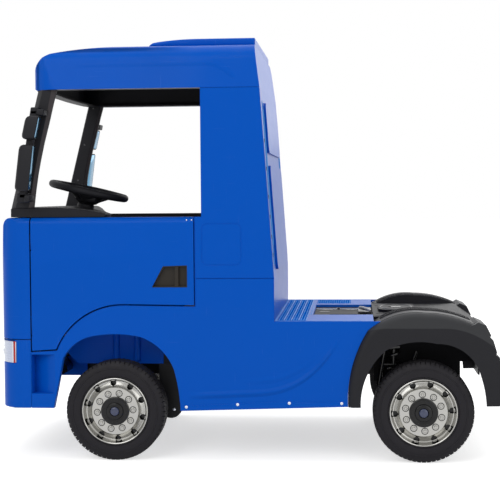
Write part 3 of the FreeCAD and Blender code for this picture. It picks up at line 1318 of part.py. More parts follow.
def main():
    """Build and write every node."""
    save("front_panel", front_panel())
    save("grille", grille())
    save("bumper", bumper())
    save("intake", intake())
    lens = lamp_shell(0, LAMP_REACH - MARKER_LENGTH - TOUCH)
    save("headlamps", lens, mirrored(lens))
    marker = lamp_shell(LAMP_REACH - MARKER_LENGTH, LAMP_REACH - TOUCH)
    save("side_markers", marker, mirrored(marker))
    save_pair("lower_side", lower_side())
    save_pair("door", door())
    save_pair("door_handle", door_handle())
    save_pair("cab_side", cab_side())
    save("cab_rear", cab_rear())
    left_pillar = pillar()
    save("pillars", left_pillar, mirrored(left_pillar))
    save("roof_shell", roof_shell())
    save("roof_liner", roof_liner())
    save("roof_fairing", roof_fairing())
    save_pair("mirror", mirror())
    faces = [mirror_face(*MIRROR_UPPER_SHARES), mirror_face(*MIRROR_LOWER_SHARES)]
    save("mirror_faces", *(faces + [mirrored(face) for face in faces]))
    save("dashboard", dashboard())
    save("steering_wheel", steering_wheel())
    save("tub", tub())
    save("pedal", pedal())
    save("seat", seat())
    save("chassis", *rails())
    save("cross_members", *cross_members())
    save("outriggers", *outriggers())
    left_bracket = bracket()
    save("brackets", left_bracket, mirrored(left_bracket))
    save("battery_tray", battery_tray())
    save("battery", battery())
    save("front_axle", front_axle())
    save_pair("knuckle", knuckle())
    save("tie_rod", tie_rod())
    wheels()
    save("rear_axle", rear_axle())
    left_gearbox = gearbox()
    save("gearboxes", left_gearbox, mirrored(left_gearbox))
    save("deck", deck())
    save("slide_plate", slide_plate())
    save("tail_cover", tail_cover())
    save("coupling_plate", coupling_plate())
    lamp = tail_lamp()
    save("tail_lamps", lamp, mirrored(lamp))
    save_pair("mudguard", mudguard())


main()
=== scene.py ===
"""Looks of a child's ride-on toy tractor unit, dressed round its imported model."""

import logging
import math
from collections.abc import Iterable, Sequence
from dataclasses import dataclass
from enum import Enum
from functools import cache, reduce
from typing import Self

import bmesh
import bpy
from mathutils import Matrix, Vector
from mathutils.bvhtree import BVHTree


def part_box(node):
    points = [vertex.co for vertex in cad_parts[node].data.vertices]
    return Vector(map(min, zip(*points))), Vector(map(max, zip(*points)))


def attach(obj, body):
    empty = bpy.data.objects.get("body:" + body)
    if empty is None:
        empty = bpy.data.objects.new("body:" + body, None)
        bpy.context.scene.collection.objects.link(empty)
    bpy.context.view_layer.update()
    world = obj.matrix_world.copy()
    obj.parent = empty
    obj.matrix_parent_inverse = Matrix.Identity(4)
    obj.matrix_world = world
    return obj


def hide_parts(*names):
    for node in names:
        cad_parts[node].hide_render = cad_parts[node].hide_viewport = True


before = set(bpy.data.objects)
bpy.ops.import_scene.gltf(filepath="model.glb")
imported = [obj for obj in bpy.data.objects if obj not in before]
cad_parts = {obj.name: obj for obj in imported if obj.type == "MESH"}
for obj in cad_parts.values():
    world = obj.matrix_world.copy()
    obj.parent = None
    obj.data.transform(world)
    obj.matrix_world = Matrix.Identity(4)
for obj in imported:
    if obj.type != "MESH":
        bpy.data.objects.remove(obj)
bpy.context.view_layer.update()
LOG = logging.getLogger("ride_on_toy")

Colour = tuple[float, float, float]
Pair = tuple[float, float]
Socket = bpy.types.NodeSocket
SIDES = {"left": -1, "right": 1}
FULL_TURN = 2 * math.pi


class Surface(Enum):
    """How a finish breaks up the light."""

    MOULDED = "moulded"
    PRESSED = "pressed"
    BROWED = "browed"
    TURNED = "turned"
    FLUTED = "fluted"


@dataclass(frozen=True)
class Finish:
    """One finish of the toy, as its moulder or plater would specify it."""

    name: str
    slot: str
    colour: Colour
    roughness: float
    metallic: float = 0.0
    specular: float = 0.5
    coat: float = 0.0
    coat_roughness: float = 0.06
    grain_scale: float = 900.0
    grain_height: float = 0.00003
    mottle: float = 0.05
    spread: float = 0.08
    dust: float = 0.0
    wear: float = 0.0
    surface: Surface = Surface.MOULDED


BLUE = Finish("blue_gloss", "body_plastic", (0.0, 0.084, 0.49), 0.3, specular=0.05, coat=0.035,
              grain_scale=55.0, grain_height=0.00005, mottle=0.03, spread=0.06, dust=0.02, wear=0.08,
              surface=Surface.PRESSED)
BLUE_DECK = Finish("blue_deck", "body_plastic", (0.0, 0.1, 0.5), 0.4, specular=0.22,
                   grain_scale=420.0, grain_height=0.0002, spread=0.05, dust=0.03, wear=0.08)
BLUE_MAT = Finish("blue_tread", "body_plastic", (0.0, 0.115, 0.53), 0.6, specular=0.0,
                  grain_scale=420.0, grain_height=0.0001, mottle=0.1, dust=0.02, wear=0.2)
# Paler blue for raised lines and lozenges: painted highlight where their edges catch the light.
BLUE_HIGHLIGHT = Finish("blue_tread_edge_highlight", "body_plastic", (0.1, 0.33, 0.72), 0.5, specular=0.05,
                   grain_scale=400.0, mottle=0.1, dust=0.02, wear=0.3)
# A lighter copy of the body's blue for the tub, the arch aprons and the door rebates: painted light that
# lifts the shade inside the arches and gaps.
BLUE_INNER_LIT = Finish("blue_inner_lit", "body_plastic", (0.0, 0.085, 0.55), 0.35, specular=0.08,
                    grain_scale=60.0, mottle=0.06, dust=0.05, wear=0.1)
BLACK = Finish("black_satin", "trim_plastic", (0.016, 0.016, 0.019), 0.46, specular=0.13,
               grain_scale=1100.0, grain_height=0.00005, mottle=0.1, dust=0.015, wear=0.2)
GUARD_BLACK = Finish("black_guard", "trim_plastic", (0.016, 0.016, 0.019), 0.46, specular=0.13,
                     grain_scale=1100.0, mottle=0.1, dust=0.015, wear=0.2, surface=Surface.BROWED)
PLATE_BLACK = Finish("black_plate", "trim_plastic", (0.012, 0.012, 0.014), 0.4, specular=0.03,
                     grain_scale=300.0, grain_height=0.0001, mottle=0.12, dust=0.02, wear=0.6)
# Dark grey for the coupling's ridges, lighter than the plates as painted highlight; the pillars' screws share
# it.
EDGE_GREY_HIGHLIGHT = Finish("black_plate_edge_highlight", "trim_plastic", (0.06, 0.06, 0.065), 0.3, specular=0.4,
                    mottle=0.12, dust=0.02, wear=0.3)
GLOSS_BLACK = Finish("black_gloss", "trim_plastic", (0.006, 0.006, 0.007), 0.22, specular=0.3, coat=0.25,
                     grain_scale=70.0, grain_height=0.0003, mottle=0.1, dust=0.015, wear=0.2)
CHARCOAL = Finish("charcoal_matt", "inner_plastic", (0.012, 0.012, 0.015), 0.5, specular=0.13,
                  grain_scale=800.0, grain_height=0.00008, mottle=0.1, dust=0.015, wear=0.1)
# Paler grey strips over the pillars' bevels: painted highlight.
PILLAR_HIGHLIGHT = Finish("pillar_bevel_highlight", "trim_plastic", (0.05, 0.043, 0.045), 0.5, specular=0.2,
                     grain_scale=800.0, mottle=0.08, dust=0.015)
TRAY_BROWN = Finish("handle_tray", "trim_plastic", (0.022, 0.018, 0.014), 0.4, specular=0.2,
                    grain_scale=700.0, mottle=0.12, dust=0.1, wear=0.3)
SEAT_BLACK = Finish("seat_grained", "seat_plastic", (0.014, 0.014, 0.016), 0.55, specular=0.2,
                    grain_scale=420.0, grain_height=0.00016, mottle=0.1, dust=0.015, wear=0.2)
TYRE_BLACK = Finish("tyre_satin", "tyre_plastic", (0.017, 0.016, 0.019), 0.58, specular=0.13,
                    grain_scale=700.0, grain_height=0.0001, mottle=0.14, dust=0.05, wear=0.25)
PLATED = Finish("plated_silver", "plated_rim", (0.38, 0.375, 0.355), 0.2, metallic=1.0,
                grain_height=0.00004, mottle=0.12, spread=0.12, dust=0.06, surface=Surface.TURNED)
PLATED_SHADE = Finish("plated_shade", "plated_rim", (0.05, 0.05, 0.048), 0.3, metallic=0.8,
                      mottle=0.12, spread=0.12, surface=Surface.TURNED)
CAP_BLACK = Finish("cap_black", "trim_plastic", (0.003, 0.003, 0.0035), 0.28, specular=0.22, coat=0.15,
                   mottle=0.1, wear=0.1)
CAP_BLUE = Finish("cap_centre", "trim_plastic", (0.035, 0.045, 0.095), 0.25, specular=0.4, coat=0.3,
                  mottle=0.3, surface=Surface.TURNED)
FOIL = Finish("mirror_foil", "mirror_foil", (0.075, 0.31, 0.52), 0.07, metallic=0.7,
              grain_scale=30.0, grain_height=0.0001, mottle=0.08)
CLEAR_LENS = Finish("silvered_lens", "clear_lens", (0.52, 0.57, 0.72), 0.12, metallic=0.2, coat=0.8,
                    mottle=0.25, surface=Surface.FLUTED)
BOWL = Finish("lamp_bowl", "clear_lens", (0.62, 0.64, 0.7), 0.15, metallic=0.9, mottle=0.15)
RED_LENS = Finish("red_lens", "red_lens", (0.5, 0.012, 0.01), 0.2, specular=0.3, coat=0.4, mottle=0.1,
                  surface=Surface.FLUTED)
FRAME_STEEL = Finish("painted_frame", "frame_steel", (0.009, 0.009, 0.01), 0.4, specular=0.2,
                     grain_scale=260.0, grain_height=0.00008, mottle=0.2, dust=0.05, wear=0.5)
BARE_STEEL = Finish("bare_steel", "axle_steel", (0.3, 0.3, 0.31), 0.38, metallic=0.9,
                    grain_scale=320.0, grain_height=0.00005, mottle=0.2, spread=0.25, dust=0.05, wear=0.4)
SCREW_STEEL = Finish("bright_screw", "axle_steel", (0.6, 0.62, 0.68), 0.3, metallic=0.75, mottle=0.1)
CASE_GREY = Finish("battery_case", "battery_case", (0.03, 0.03, 0.034), 0.5, specular=0.2,
                   mottle=0.1, dust=0.3)


class NodeSheet:
    """Node tree under construction."""

    def __init__(self, tree: bpy.types.NodeTree) -> None:
        """Takes the tree to build in."""
        self.tree = tree

    def add(self, kind: str, feeds: dict[str | int, object] | None = None,
            **values: object) -> bpy.types.Node:
        """Adds a node, sets its properties and feeds its inputs.

        Args:
            kind: Node type.
            feeds: What goes into each input, by its name or number.
            values: Property names and values.

        Returns:
            The new node.
        """
        node = self.tree.nodes.new(kind)
        for key, value in values.items():
            setattr(node, key, value)
        for key, value in (feeds or {}).items():
            self.feed(node.inputs[key], value)
        return node

    def feed(self, target: Socket, value: object) -> None:
        """Links a socket to a target, or sets the target to a constant.

        Args:
            target: Input socket.
            value: Output socket, number or colour.
        """
        if isinstance(value, Socket):
            self.tree.links.new(value, target)
        else:
            target.default_value = value

    def maths(self, operation: str, *operands: object, clamp: bool = False) -> Socket:
        """Adds a Math node and gives its result."""
        return self.add("ShaderNodeMath", dict(enumerate(operands)), operation=operation,
                        use_clamp=clamp).outputs[0]

    def chain(self, operation: str, *values: object) -> Socket:
        """Adds or multiplies any number of values in turn."""
        return reduce(lambda first, second: self.maths(operation, first, second), values)

    def blend(self, factor: object, first: object, second: object) -> Socket:
        """Mixes two colours, the second by the factor."""
        return self.add("ShaderNodeMix", {0: factor, 6: first, 7: second}, data_type="RGBA").outputs[2]

    def noise(self, vector: Socket, scale: object, detail: float) -> Socket:
        """Adds a noise texture with so many cells a metre and octaves."""
        return self.add("ShaderNodeTexNoise", {"Vector": vector, "Scale": scale, "Detail": detail}).outputs[0]

    def window(self, value: Socket, low: float, high: float) -> Socket:
        """Smooth step of a value from 0 at low to 1 at high."""
        return self.add("ShaderNodeMapRange", {"Value": value, "From Min": low, "From Max": high},
                        interpolation_type="SMOOTHSTEP").outputs[0]

    def band(self, value: Socket, rise: Pair, fall: Pair) -> Socket:
        """Smooth step up and smooth step down again."""
        return self.maths("MULTIPLY", self.window(value, *rise), self.window(value, *fall))

    def place(self) -> Socket:
        """Coordinates of the shaded point on its own piece."""
        return self.add("ShaderNodeTexCoord").outputs["Object"]

    def axes(self) -> tuple[Socket, ...]:
        """X, Y and Z of the shaded point on its own piece."""
        return tuple(self.add("ShaderNodeSeparateXYZ", {0: self.place()}).outputs)


class Effect(NodeSheet):
    """Group of shader nodes that several finishes share."""

    COLOURS = {"Colour", "Dust", "Shade", "PaintedLight"}
    label = "effect"
    takes: tuple[str, ...] = ()
    gives: tuple[str, ...] = ()

    def __init__(self) -> None:
        """Makes the group with its sockets and draws its nodes."""
        super().__init__(bpy.data.node_groups.new(self.label, "ShaderNodeTree"))
        for way, labels in (("INPUT", self.takes), ("OUTPUT", self.gives)):
            for label in labels:
                kind = "NodeSocketColor" if label in self.COLOURS else "NodeSocketFloat"
                self.tree.interface.new_socket(label, in_out=way, socket_type=kind)
        self.given = self.add("NodeGroupInput").outputs
        self.draw()

    def draw(self) -> None:
        """Draws the nodes between the group's inputs and outputs."""
        raise NotImplementedError

    def give(self, **outputs: Socket) -> None:
        """Feeds the group's outputs."""
        self.add("NodeGroupOutput", outputs)


class Grain(Effect):
    """Fine mould grain with slow changes of tone and gloss."""

    label = "mould_grain"
    takes = ("Colour", "Roughness", "Scale", "Mottle", "Spread")
    gives = ("Colour", "Roughness", "Height")
    TONE_SCALE = 6.0
    GLOSS_SCALE = 45.0

    def draw(self) -> None:
        """Draws tone, gloss and height from three noises."""
        place, given = self.place(), self.given
        broad = self.maths("SUBTRACT", self.noise(place, self.TONE_SCALE, 3.0), 0.5)
        tone = self.maths("MULTIPLY_ADD", broad, given["Mottle"], 1.0)
        shade = self.add("ShaderNodeHueSaturation", {"Color": given["Colour"], "Value": tone})
        medium = self.maths("SUBTRACT", self.noise(place, self.GLOSS_SCALE, 4.0), 0.5)
        gloss = self.maths("MULTIPLY_ADD", medium, given["Spread"], given["Roughness"])
        self.give(Colour=shade.outputs[0], Roughness=gloss, Height=self.noise(place, given["Scale"], 3.0))


class Dust(Effect):
    """Pale dust that settles in patches on faces that look up."""

    label = "settled_dust"
    takes = ("Colour", "Roughness", "Cover", "Dust")
    gives = ("Colour", "Roughness")
    FACING = (-0.2, 1.0)
    PATCH_SCALE = 30.0
    PATCHES = (0.35, 0.75)

    def draw(self) -> None:
        """Covers upward faces with a patchy veil."""
        coords, given = self.add("ShaderNodeTexCoord").outputs, self.given
        up = self.add("ShaderNodeSeparateXYZ", {0: coords["Normal"]}).outputs["Z"]
        patches = self.window(self.noise(coords["Object"], self.PATCH_SCALE, 6.0), *self.PATCHES)
        veil = self.maths("MULTIPLY", self.maths("MULTIPLY", self.window(up, *self.FACING), patches),
                          given["Cover"], clamp=True)
        self.give(Colour=self.blend(veil, given["Colour"], given["Dust"]),
                  Roughness=self.maths("MAXIMUM", given["Roughness"], veil))


class Wear(Effect):
    """Fine handling scratches, paler and rougher than the surface."""

    label = "handling_scratches"
    takes = ("Colour", "Roughness", "Wear")
    gives = ("Colour", "Roughness")
    STRETCHES = ((9.0, 9.0, 260.0), (200.0, 60.0, 12.0))
    MARKS = (0.66, 0.74)
    PALER = 1.5
    DULLER = 0.8
    ROUGHER = 0.3

    def draw(self) -> None:
        """Draws streaks from stretched noises."""
        place, given = self.place(), self.given
        streaks = []
        for stretch in self.STRETCHES:
            drawn = self.add("ShaderNodeMapping", {"Vector": place, "Scale": stretch}).outputs[0]
            streaks.append(self.window(self.noise(drawn, 1.0, 5.0), *self.MARKS))
        cover = self.maths("MULTIPLY", self.maths("MAXIMUM", *streaks), given["Wear"])
        pale = self.add("ShaderNodeHueSaturation", {"Color": given["Colour"], "Value": self.PALER,
                                                    "Saturation": self.DULLER})
        self.give(Colour=self.blend(cover, given["Colour"], pale.outputs[0]),
                  Roughness=self.maths("MULTIPLY_ADD", cover, self.ROUGHER, given["Roughness"]))


class Turned(Effect):
    """Fine concentric rings about the piece's own Y axis, as on a turned or plated part."""

    label = "turned_rings"
    takes = ("Roughness", "Spread")
    gives = ("Roughness", "Height")
    RING_SCALE = 1400.0

    def draw(self) -> None:
        """Draws a noise that changes with the radius alone."""
        x, _, z = self.axes()
        squares = self.maths("ADD", self.maths("MULTIPLY", x, x), self.maths("MULTIPLY", z, z))
        ring = self.add("ShaderNodeCombineXYZ", {"X": self.maths("SQRT", squares)})
        rings = self.noise(ring.outputs[0], self.RING_SCALE, 3.0)
        gloss = self.maths("MULTIPLY_ADD", self.maths("SUBTRACT", rings, 0.5), self.given["Spread"],
                           self.given["Roughness"])
        self.give(Roughness=gloss, Height=rings)


class Flutes(Effect):
    """Upright flutes and cross prisms of a moulded lamp lens."""

    label = "lens_flutes"
    takes = ("Pitch",)
    gives = ("Height",)

    def draw(self) -> None:
        """Draws a wave across the lens and a wave up it."""
        waves = [self.maths("SINE", self.maths("MULTIPLY", self.maths("DIVIDE", axis, self.given["Pitch"]),
                                               FULL_TURN)) for axis in self.axes()[1:]]
        self.give(Height=self.maths("ADD", *waves))


class Panel(Effect):
    """Folds pressed into the body's sides, and the shade inside the doors' front seams.

    A line is its height at the toy's middle and its rise for each metre to the rear. A fade is
    the place where a fold starts and the place where it is whole.
    """

    label = "pressed_panel"
    takes = ("Colour", "Shade")
    gives = ("Colour", "Height")
    SIDE = (0.3, 0.318)
    RIDGE_HALF = 0.011
    DOOR_LINE, DOOR_LEAN, DOOR_FADE = (0.5424, 0.082), -0.07, (-0.12, -0.32)
    SKIRT_LINE, SKIRT_BEND, SKIRT_POWER, SKIRT_CURVE = (0.1705, 0.045), 0.024, 2.6, 7.0
    SKIRT_FADES, SKIRT_RISE = ((-0.16, -0.08), (0.245, 0.19)), 0.0034
    FAINT_ABOVE, FAINT_FADES, FAINT_RISE = 0.03, ((-0.02, 0.06), (0.2, 0.14)), 0.0014
    ROOF_TOP, ROOF_BEND, ROOF_CURVE, ROOF_RISE = 0.995, -0.09, 8.5, 0.0012
    ROOF_FADE, ROOF_LOW = (-0.46, -0.38), (0.952, 0.966)
    SEAM, SEAM_FOOT = ((-0.5413, -0.541), (-0.5377, -0.5381)), (0.272, 0.278)

    def draw(self) -> None:
        """Draws the folds, then the seams' shade."""
        x, y, z = self.axes()
        side = self.window(self.maths("ABSOLUTE", y), *self.SIDE)
        above = self.maths("MAXIMUM", self.maths("SUBTRACT", z, self._line(x, *self.DOOR_LINE)), 0.0)
        fold = self.chain("MULTIPLY", above, self.DOOR_LEAN, self.window(x, *self.DOOR_FADE))
        curve = self.maths("MULTIPLY", self.maths("POWER", self._beyond(x, self.SKIRT_BEND),
                                                  self.SKIRT_POWER), self.SKIRT_CURVE)
        skirt = self.maths("ADD", self._line(x, *self.SKIRT_LINE), curve)
        low = self._ridge(z, skirt, self.band(x, *self.SKIRT_FADES), self.SKIRT_RISE)
        faint = self._ridge(z, self.maths("ADD", skirt, self.FAINT_ABOVE),
                            self.band(x, *self.FAINT_FADES), self.FAINT_RISE)
        bend = self._beyond(x, self.ROOF_BEND)
        crease = self.maths("SUBTRACT", self.ROOF_TOP, self.chain("MULTIPLY", bend, bend, self.ROOF_CURVE))
        roof = self.maths("MULTIPLY", self._ridge(z, crease, self.window(x, *self.ROOF_FADE),
                                                  self.ROOF_RISE), self.window(z, *self.ROOF_LOW))
        height = self.maths("MULTIPLY", self.chain("ADD", fold, low, faint, roof), side)
        shade = self.chain("MULTIPLY", self.band(x, *self.SEAM), self.window(z, *self.SEAM_FOOT), side)
        self.give(Colour=self.blend(shade, self.given["Colour"], self.given["Shade"]), Height=height)

    def _line(self, x: Socket, start: float, slope: float) -> Socket:
        """Height of a straight line along the toy."""
        return self.maths("MULTIPLY_ADD", x, slope, start)

    def _beyond(self, x: Socket, place: float) -> Socket:
        """Distance to the rear of a place, or 0 ahead of it."""
        return self.maths("MAXIMUM", self.maths("SUBTRACT", x, place), 0.0)

    def _ridge(self, z: Socket, line: Socket, fade: Socket, rise: float) -> Socket:
        """Soft ridge along a line, as high as its rise where its fade is 1."""
        near = self.window(self.maths("ABSOLUTE", self.maths("SUBTRACT", z, line)), self.RIDGE_HALF, 0.0)
        return self.chain("MULTIPLY", near, fade, rise)


class Brow(Effect):
    """Slope of the mudguards' outer face above its crease, with a paler tone on it as painted highlight where
    the slope faces up.
    """

    label = "guard_brow"
    takes = ("Colour", "PaintedLight")
    gives = ("Colour", "Height")
    MIDDLE = 0.425
    FLAT_HALF = 0.07
    CREASE_TOP = 0.333
    CREASE_CURVE = 3.2
    LEAN = -0.35
    OUTER = (0.325, 0.335)
    EDGE = (0.0, 0.003)

    def draw(self) -> None:
        """Draws the crease as a curve over the wheel, the slope above it, and the painted highlight on that
        slope.
        """
        x, y, z = self.axes()
        apart = self.maths("ABSOLUTE", self.maths("SUBTRACT", x, self.MIDDLE))
        bend = self.maths("MAXIMUM", self.maths("SUBTRACT", apart, self.FLAT_HALF), 0.0)
        fall = self.maths("MULTIPLY", self.maths("POWER", bend, 2.0), self.CREASE_CURVE)
        crease = self.maths("SUBTRACT", self.CREASE_TOP, fall)
        over = self.maths("MAXIMUM", self.maths("SUBTRACT", z, crease), 0.0)
        outer = self.window(self.maths("ABSOLUTE", y), *self.OUTER)
        # Painted highlight: a paler band on the slope that faces the top light.
        painted_band = self.maths("MULTIPLY", self.window(over, *self.EDGE), outer)
        self.give(Colour=self.blend(painted_band, self.given["Colour"], self.given["PaintedLight"]),
                  Height=self.chain("MULTIPLY", over, self.LEAN, outer))


class Palette:
    """Materials of the toy, made from its finishes as they are called for."""

    DUST = (0.35, 0.34, 0.32, 1.0)
    SEAM_SHADE = (0.0, 0.003, 0.02, 1.0)
    # Paler tone painted on the mudguards' brows as highlight.
    BROW_PAINTED_LIGHT = (0.036, 0.037, 0.04, 1.0)
    FLUTE_PITCH = 0.006
    FLUTE_HEIGHT = 0.0002
    EVERYWHERE = (Grain, Wear, Dust)
    BY_SURFACE = {Surface.TURNED: Turned, Surface.FLUTED: Flutes, Surface.PRESSED: Panel,
                  Surface.BROWED: Brow}

    def __init__(self) -> None:
        """Builds the shared effects."""
        self.effects = {kind: kind() for kind in (*self.EVERYWHERE, *self.BY_SURFACE.values())}
        self.made: dict[str, bpy.types.Material] = {}

    def material(self, finish: Finish) -> bpy.types.Material:
        """Material of a finish.

        Args:
            finish: The finish.

        Returns:
            Its material, built on the first call.
        """
        if finish.name not in self.made:
            self.made[finish.name] = self._build(finish)
        return self.made[finish.name]

    def _build(self, finish: Finish) -> bpy.types.Material:
        """Builds a finish's nodes.

        Args:
            finish: The finish.

        Returns:
            The new material.
        """
        material = bpy.data.materials.new(finish.name)
        material.use_nodes = True
        sheet = NodeSheet(material.node_tree)
        shader = next(node for node in sheet.tree.nodes if node.type == "BSDF_PRINCIPLED")
        flow = {"Colour": (*finish.colour, 1.0), "Roughness": finish.roughness,
                "Scale": finish.grain_scale, "Mottle": finish.mottle, "Spread": finish.spread,
                "Wear": finish.wear, "Cover": finish.dust, "Dust": self.DUST,
                "Shade": self.SEAM_SHADE, "PaintedLight": self.BROW_PAINTED_LIGHT, "Pitch": self.FLUTE_PITCH}
        for kind in self.EVERYWHERE:
            self._apply(sheet, self.effects[kind], flow)
        grains, reach = flow["Height"], finish.grain_height
        if finish.surface in self.BY_SURFACE:
            self._apply(sheet, self.effects[self.BY_SURFACE[finish.surface]], flow)
        if finish.surface in (Surface.PRESSED, Surface.BROWED):
            flow["Height"] = sheet.maths("ADD", sheet.maths("MULTIPLY", grains, reach), flow["Height"])
            reach = 1.0
        elif finish.surface is Surface.FLUTED:
            reach = self.FLUTE_HEIGHT
        bump = sheet.add("ShaderNodeBump", {"Strength": 1.0, "Distance": reach, "Height": flow["Height"]})
        for label, value in {"Base Color": flow["Colour"], "Roughness": flow["Roughness"],
                             "Normal": bump.outputs[0], "Metallic": finish.metallic,
                             "Specular IOR Level": finish.specular, "Coat Weight": finish.coat,
                             "Coat Roughness": finish.coat_roughness}.items():
            sheet.feed(shader.inputs[label], value)
        return material

    @staticmethod
    def _apply(sheet: NodeSheet, effect: Effect, flow: dict[str, object]) -> None:
        """Places a shared effect in a material.

        Args:
            sheet: The material's nodes.
            effect: The effect.
            flow: Values by name, which the effect takes and changes.
        """
        node = sheet.add("ShaderNodeGroup", node_tree=effect.tree)
        for label in effect.takes:
            sheet.feed(node.inputs[label], flow[label])
        flow.update({label: node.outputs[label] for label in effect.gives})


def circle(radius: float, count: int, shift: float = 0.0) -> list[Pair]:
    """Places spread evenly round a circle, turned by a share of a step."""
    turns = [FULL_TURN * (i + shift) / count for i in range(count)]
    return [(radius * math.cos(turn), radius * math.sin(turn)) for turn in turns]


def arc_points(start: Pair, via: Pair, end: Pair, count: int) -> list[Pair]:
    """Points along the arc through three places.

    Args:
        start: First place.
        via: Place on the arc.
        end: Last place.
        count: Number of steps.

    Returns:
        The points, both ends included.
    """
    (ax, ay), (bx, by), (cx, cy) = start, via, end
    turn = 2 * (ax * (by - cy) + bx * (cy - ay) + cx * (ay - by))
    aa, bb, cc = ax * ax + ay * ay, bx * bx + by * by, cx * cx + cy * cy
    ox = (aa * (by - cy) + bb * (cy - ay) + cc * (ay - by)) / turn
    oy = (aa * (cx - bx) + bb * (ax - cx) + cc * (bx - ax)) / turn
    radius = math.hypot(ax - ox, ay - oy)
    first = math.atan2(ay - oy, ax - ox)
    to_via = (math.atan2(by - oy, bx - ox) - first) % FULL_TURN
    to_end = (math.atan2(cy - oy, cx - ox) - first) % FULL_TURN
    sweep = to_end if to_via < to_end else to_end - FULL_TURN
    return [(ox + radius * math.cos(first + sweep * i / count),
             oy + radius * math.sin(first + sweep * i / count)) for i in range(count + 1)]


class Form:
    """Mesh in the making, with the shapes that the toy's pieces are made of."""

    SHARP = math.radians(32)

    def __init__(self) -> None:
        """Starts an empty mesh."""
        self.bm = bmesh.new()

    def loft(self, rings: Sequence[Sequence[Vector]], closed: bool = False) -> Self:
        """Skins rings of equal length.

        Args:
            rings: The rings, each a closed run of points.
            closed: Whether the last ring joins the first; if not, the end rings are filled.

        Returns:
            This form.
        """
        rows = [[self.bm.verts.new(point) for point in ring] for ring in rings]
        pairs = list(zip(rows, rows[1:]))
        if closed:
            pairs.append((rows[-1], rows[0]))
        for low, high in pairs:
            for i in range(len(low)):
                j = (i + 1) % len(low)
                self.bm.faces.new((low[i], low[j], high[j], high[i]))
        if not closed:
            self.bm.faces.new(rows[0])
            self.bm.faces.new(rows[-1])
        return self

    def lathe(self, profile: Sequence[Pair], segments: int, closed: bool = True,
              centre: Pair = (0.0, 0.0)) -> Self:
        """Turns a profile about an axis along Y.

        Args:
            profile: Corners as (y, radius).
            segments: Steps round the axis.
            closed: Whether the profile is a closed loop; an open one is capped by its axis ends.
            centre: Axis place as (x, z).

        Returns:
            This form.
        """
        columns = []
        for i in range(segments):
            turn = FULL_TURN * i / segments
            columns.append([self.bm.verts.new((centre[0] + r * math.cos(turn), y,
                                               centre[1] + r * math.sin(turn))) for y, r in profile])
        count = len(profile)
        for i in range(segments):
            low, high = columns[i], columns[(i + 1) % segments]
            for j in range(count if closed else count - 1):
                k = (j + 1) % count
                self.bm.faces.new((low[j], low[k], high[k], high[j]))
        if not closed:
            for end in (0, -1):
                self.bm.faces.new([column[end] for column in columns])
        return self

    def block(self, xs: Pair, ys: Pair, zs: Pair, radius: float = 0.0, steps: int = 1,
              side: int = 1, lean: float = 0.0) -> Self:
        """Box with rounded edges.

        Args:
            xs: Front and rear.
            ys: Places of its two sides.
            zs: Foot and head.
            radius: Edge radius.
            steps: Facets of each rounded edge.
            side: 1, or -1 for the box's mirror image on the other side.
            lean: Shift along X for each metre of height.

        Returns:
            This form.
        """
        low, high = (Vector(corner) for corner in zip(xs, sorted(side * y for y in ys), zs))
        made = bmesh.ops.create_cube(self.bm, size=1.0)["verts"]
        middle, size = (low + high) / 2, high - low
        for vert in made:
            vert.co = vert.co * size + middle
            vert.co.x += lean * (vert.co.z - low.z)
        if radius:
            edges = {edge for vert in made for edge in vert.link_edges}
            bmesh.ops.bevel(self.bm, geom=list(edges), offset=radius, segments=steps,
                            profile=0.5, affect="EDGES", clamp_overlap=True)
        return self

    def swept(self, section: Sequence[Pair], start: float, end: float, steps: int, skew: float) -> Self:
        """Closed block swept round an axis along Y.

        Args:
            section: Corners as (y, radius).
            start: First angle.
            end: Last angle.
            steps: Steps of the sweep.
            skew: Added angle for each metre along Y.

        Returns:
            This form.
        """
        turns = [start + (end - start) * i / steps for i in range(steps + 1)]
        return self.loft([[Vector((r * math.cos(turn + skew * y), y, r * math.sin(turn + skew * y)))
                           for y, r in section] for turn in turns])

    def tube(self, path: Sequence[Vector], radius: float, sides: int) -> Self:
        """Round rod along a path.

        Args:
            path: Points of the path.
            radius: Rod radius.
            sides: Facets round it.

        Returns:
            This form.
        """
        rings = []
        side = None
        for i, point in enumerate(path):
            ahead = (path[min(i + 1, len(path) - 1)] - path[max(i - 1, 0)]).normalized()
            seed = side if side is not None else ahead.orthogonal()
            side = (seed - ahead * seed.dot(ahead)).normalized()
            up = ahead.cross(side)
            rings.append([point + (side * a + up * b) * radius for a, b in circle(1.0, sides)])
        return self.loft(rings)

    def moved(self, matrix: Matrix) -> Self:
        """Moves all that has been made so far."""
        bmesh.ops.transform(self.bm, matrix=matrix, verts=self.bm.verts[:])
        return self

    def join(self, part: Self, matrix: Matrix = Matrix()) -> Self:
        """Adds a part where a matrix places it.

        Args:
            part: The part, which is used up.
            matrix: Its place.

        Returns:
            This form.
        """
        spare = bpy.data.meshes.new("spare")
        part.moved(matrix).bm.to_mesh(spare)
        part.bm.free()
        self.bm.from_mesh(spare)
        return self

    def minus(self, cutter: Self) -> Self:
        """Cuts another shape from this one.

        Args:
            cutter: Shape that is taken away.

        Returns:
            The cut form.
        """
        blank, tool = (bpy.data.objects.new(name, form.mesh(name))
                       for name, form in (("blank", self), ("tool", cutter)))
        for obj in (blank, tool):
            bpy.context.scene.collection.objects.link(obj)
        cut = blank.modifiers.new("cut", "BOOLEAN")
        cut.operation = "DIFFERENCE"
        cut.solver = "EXACT"
        cut.object = tool
        graph = bpy.context.evaluated_depsgraph_get()
        result = Form()
        result.bm.from_mesh(bpy.data.meshes.new_from_object(blank.evaluated_get(graph)))
        for obj in (blank, tool):
            bpy.data.objects.remove(obj)
        return result

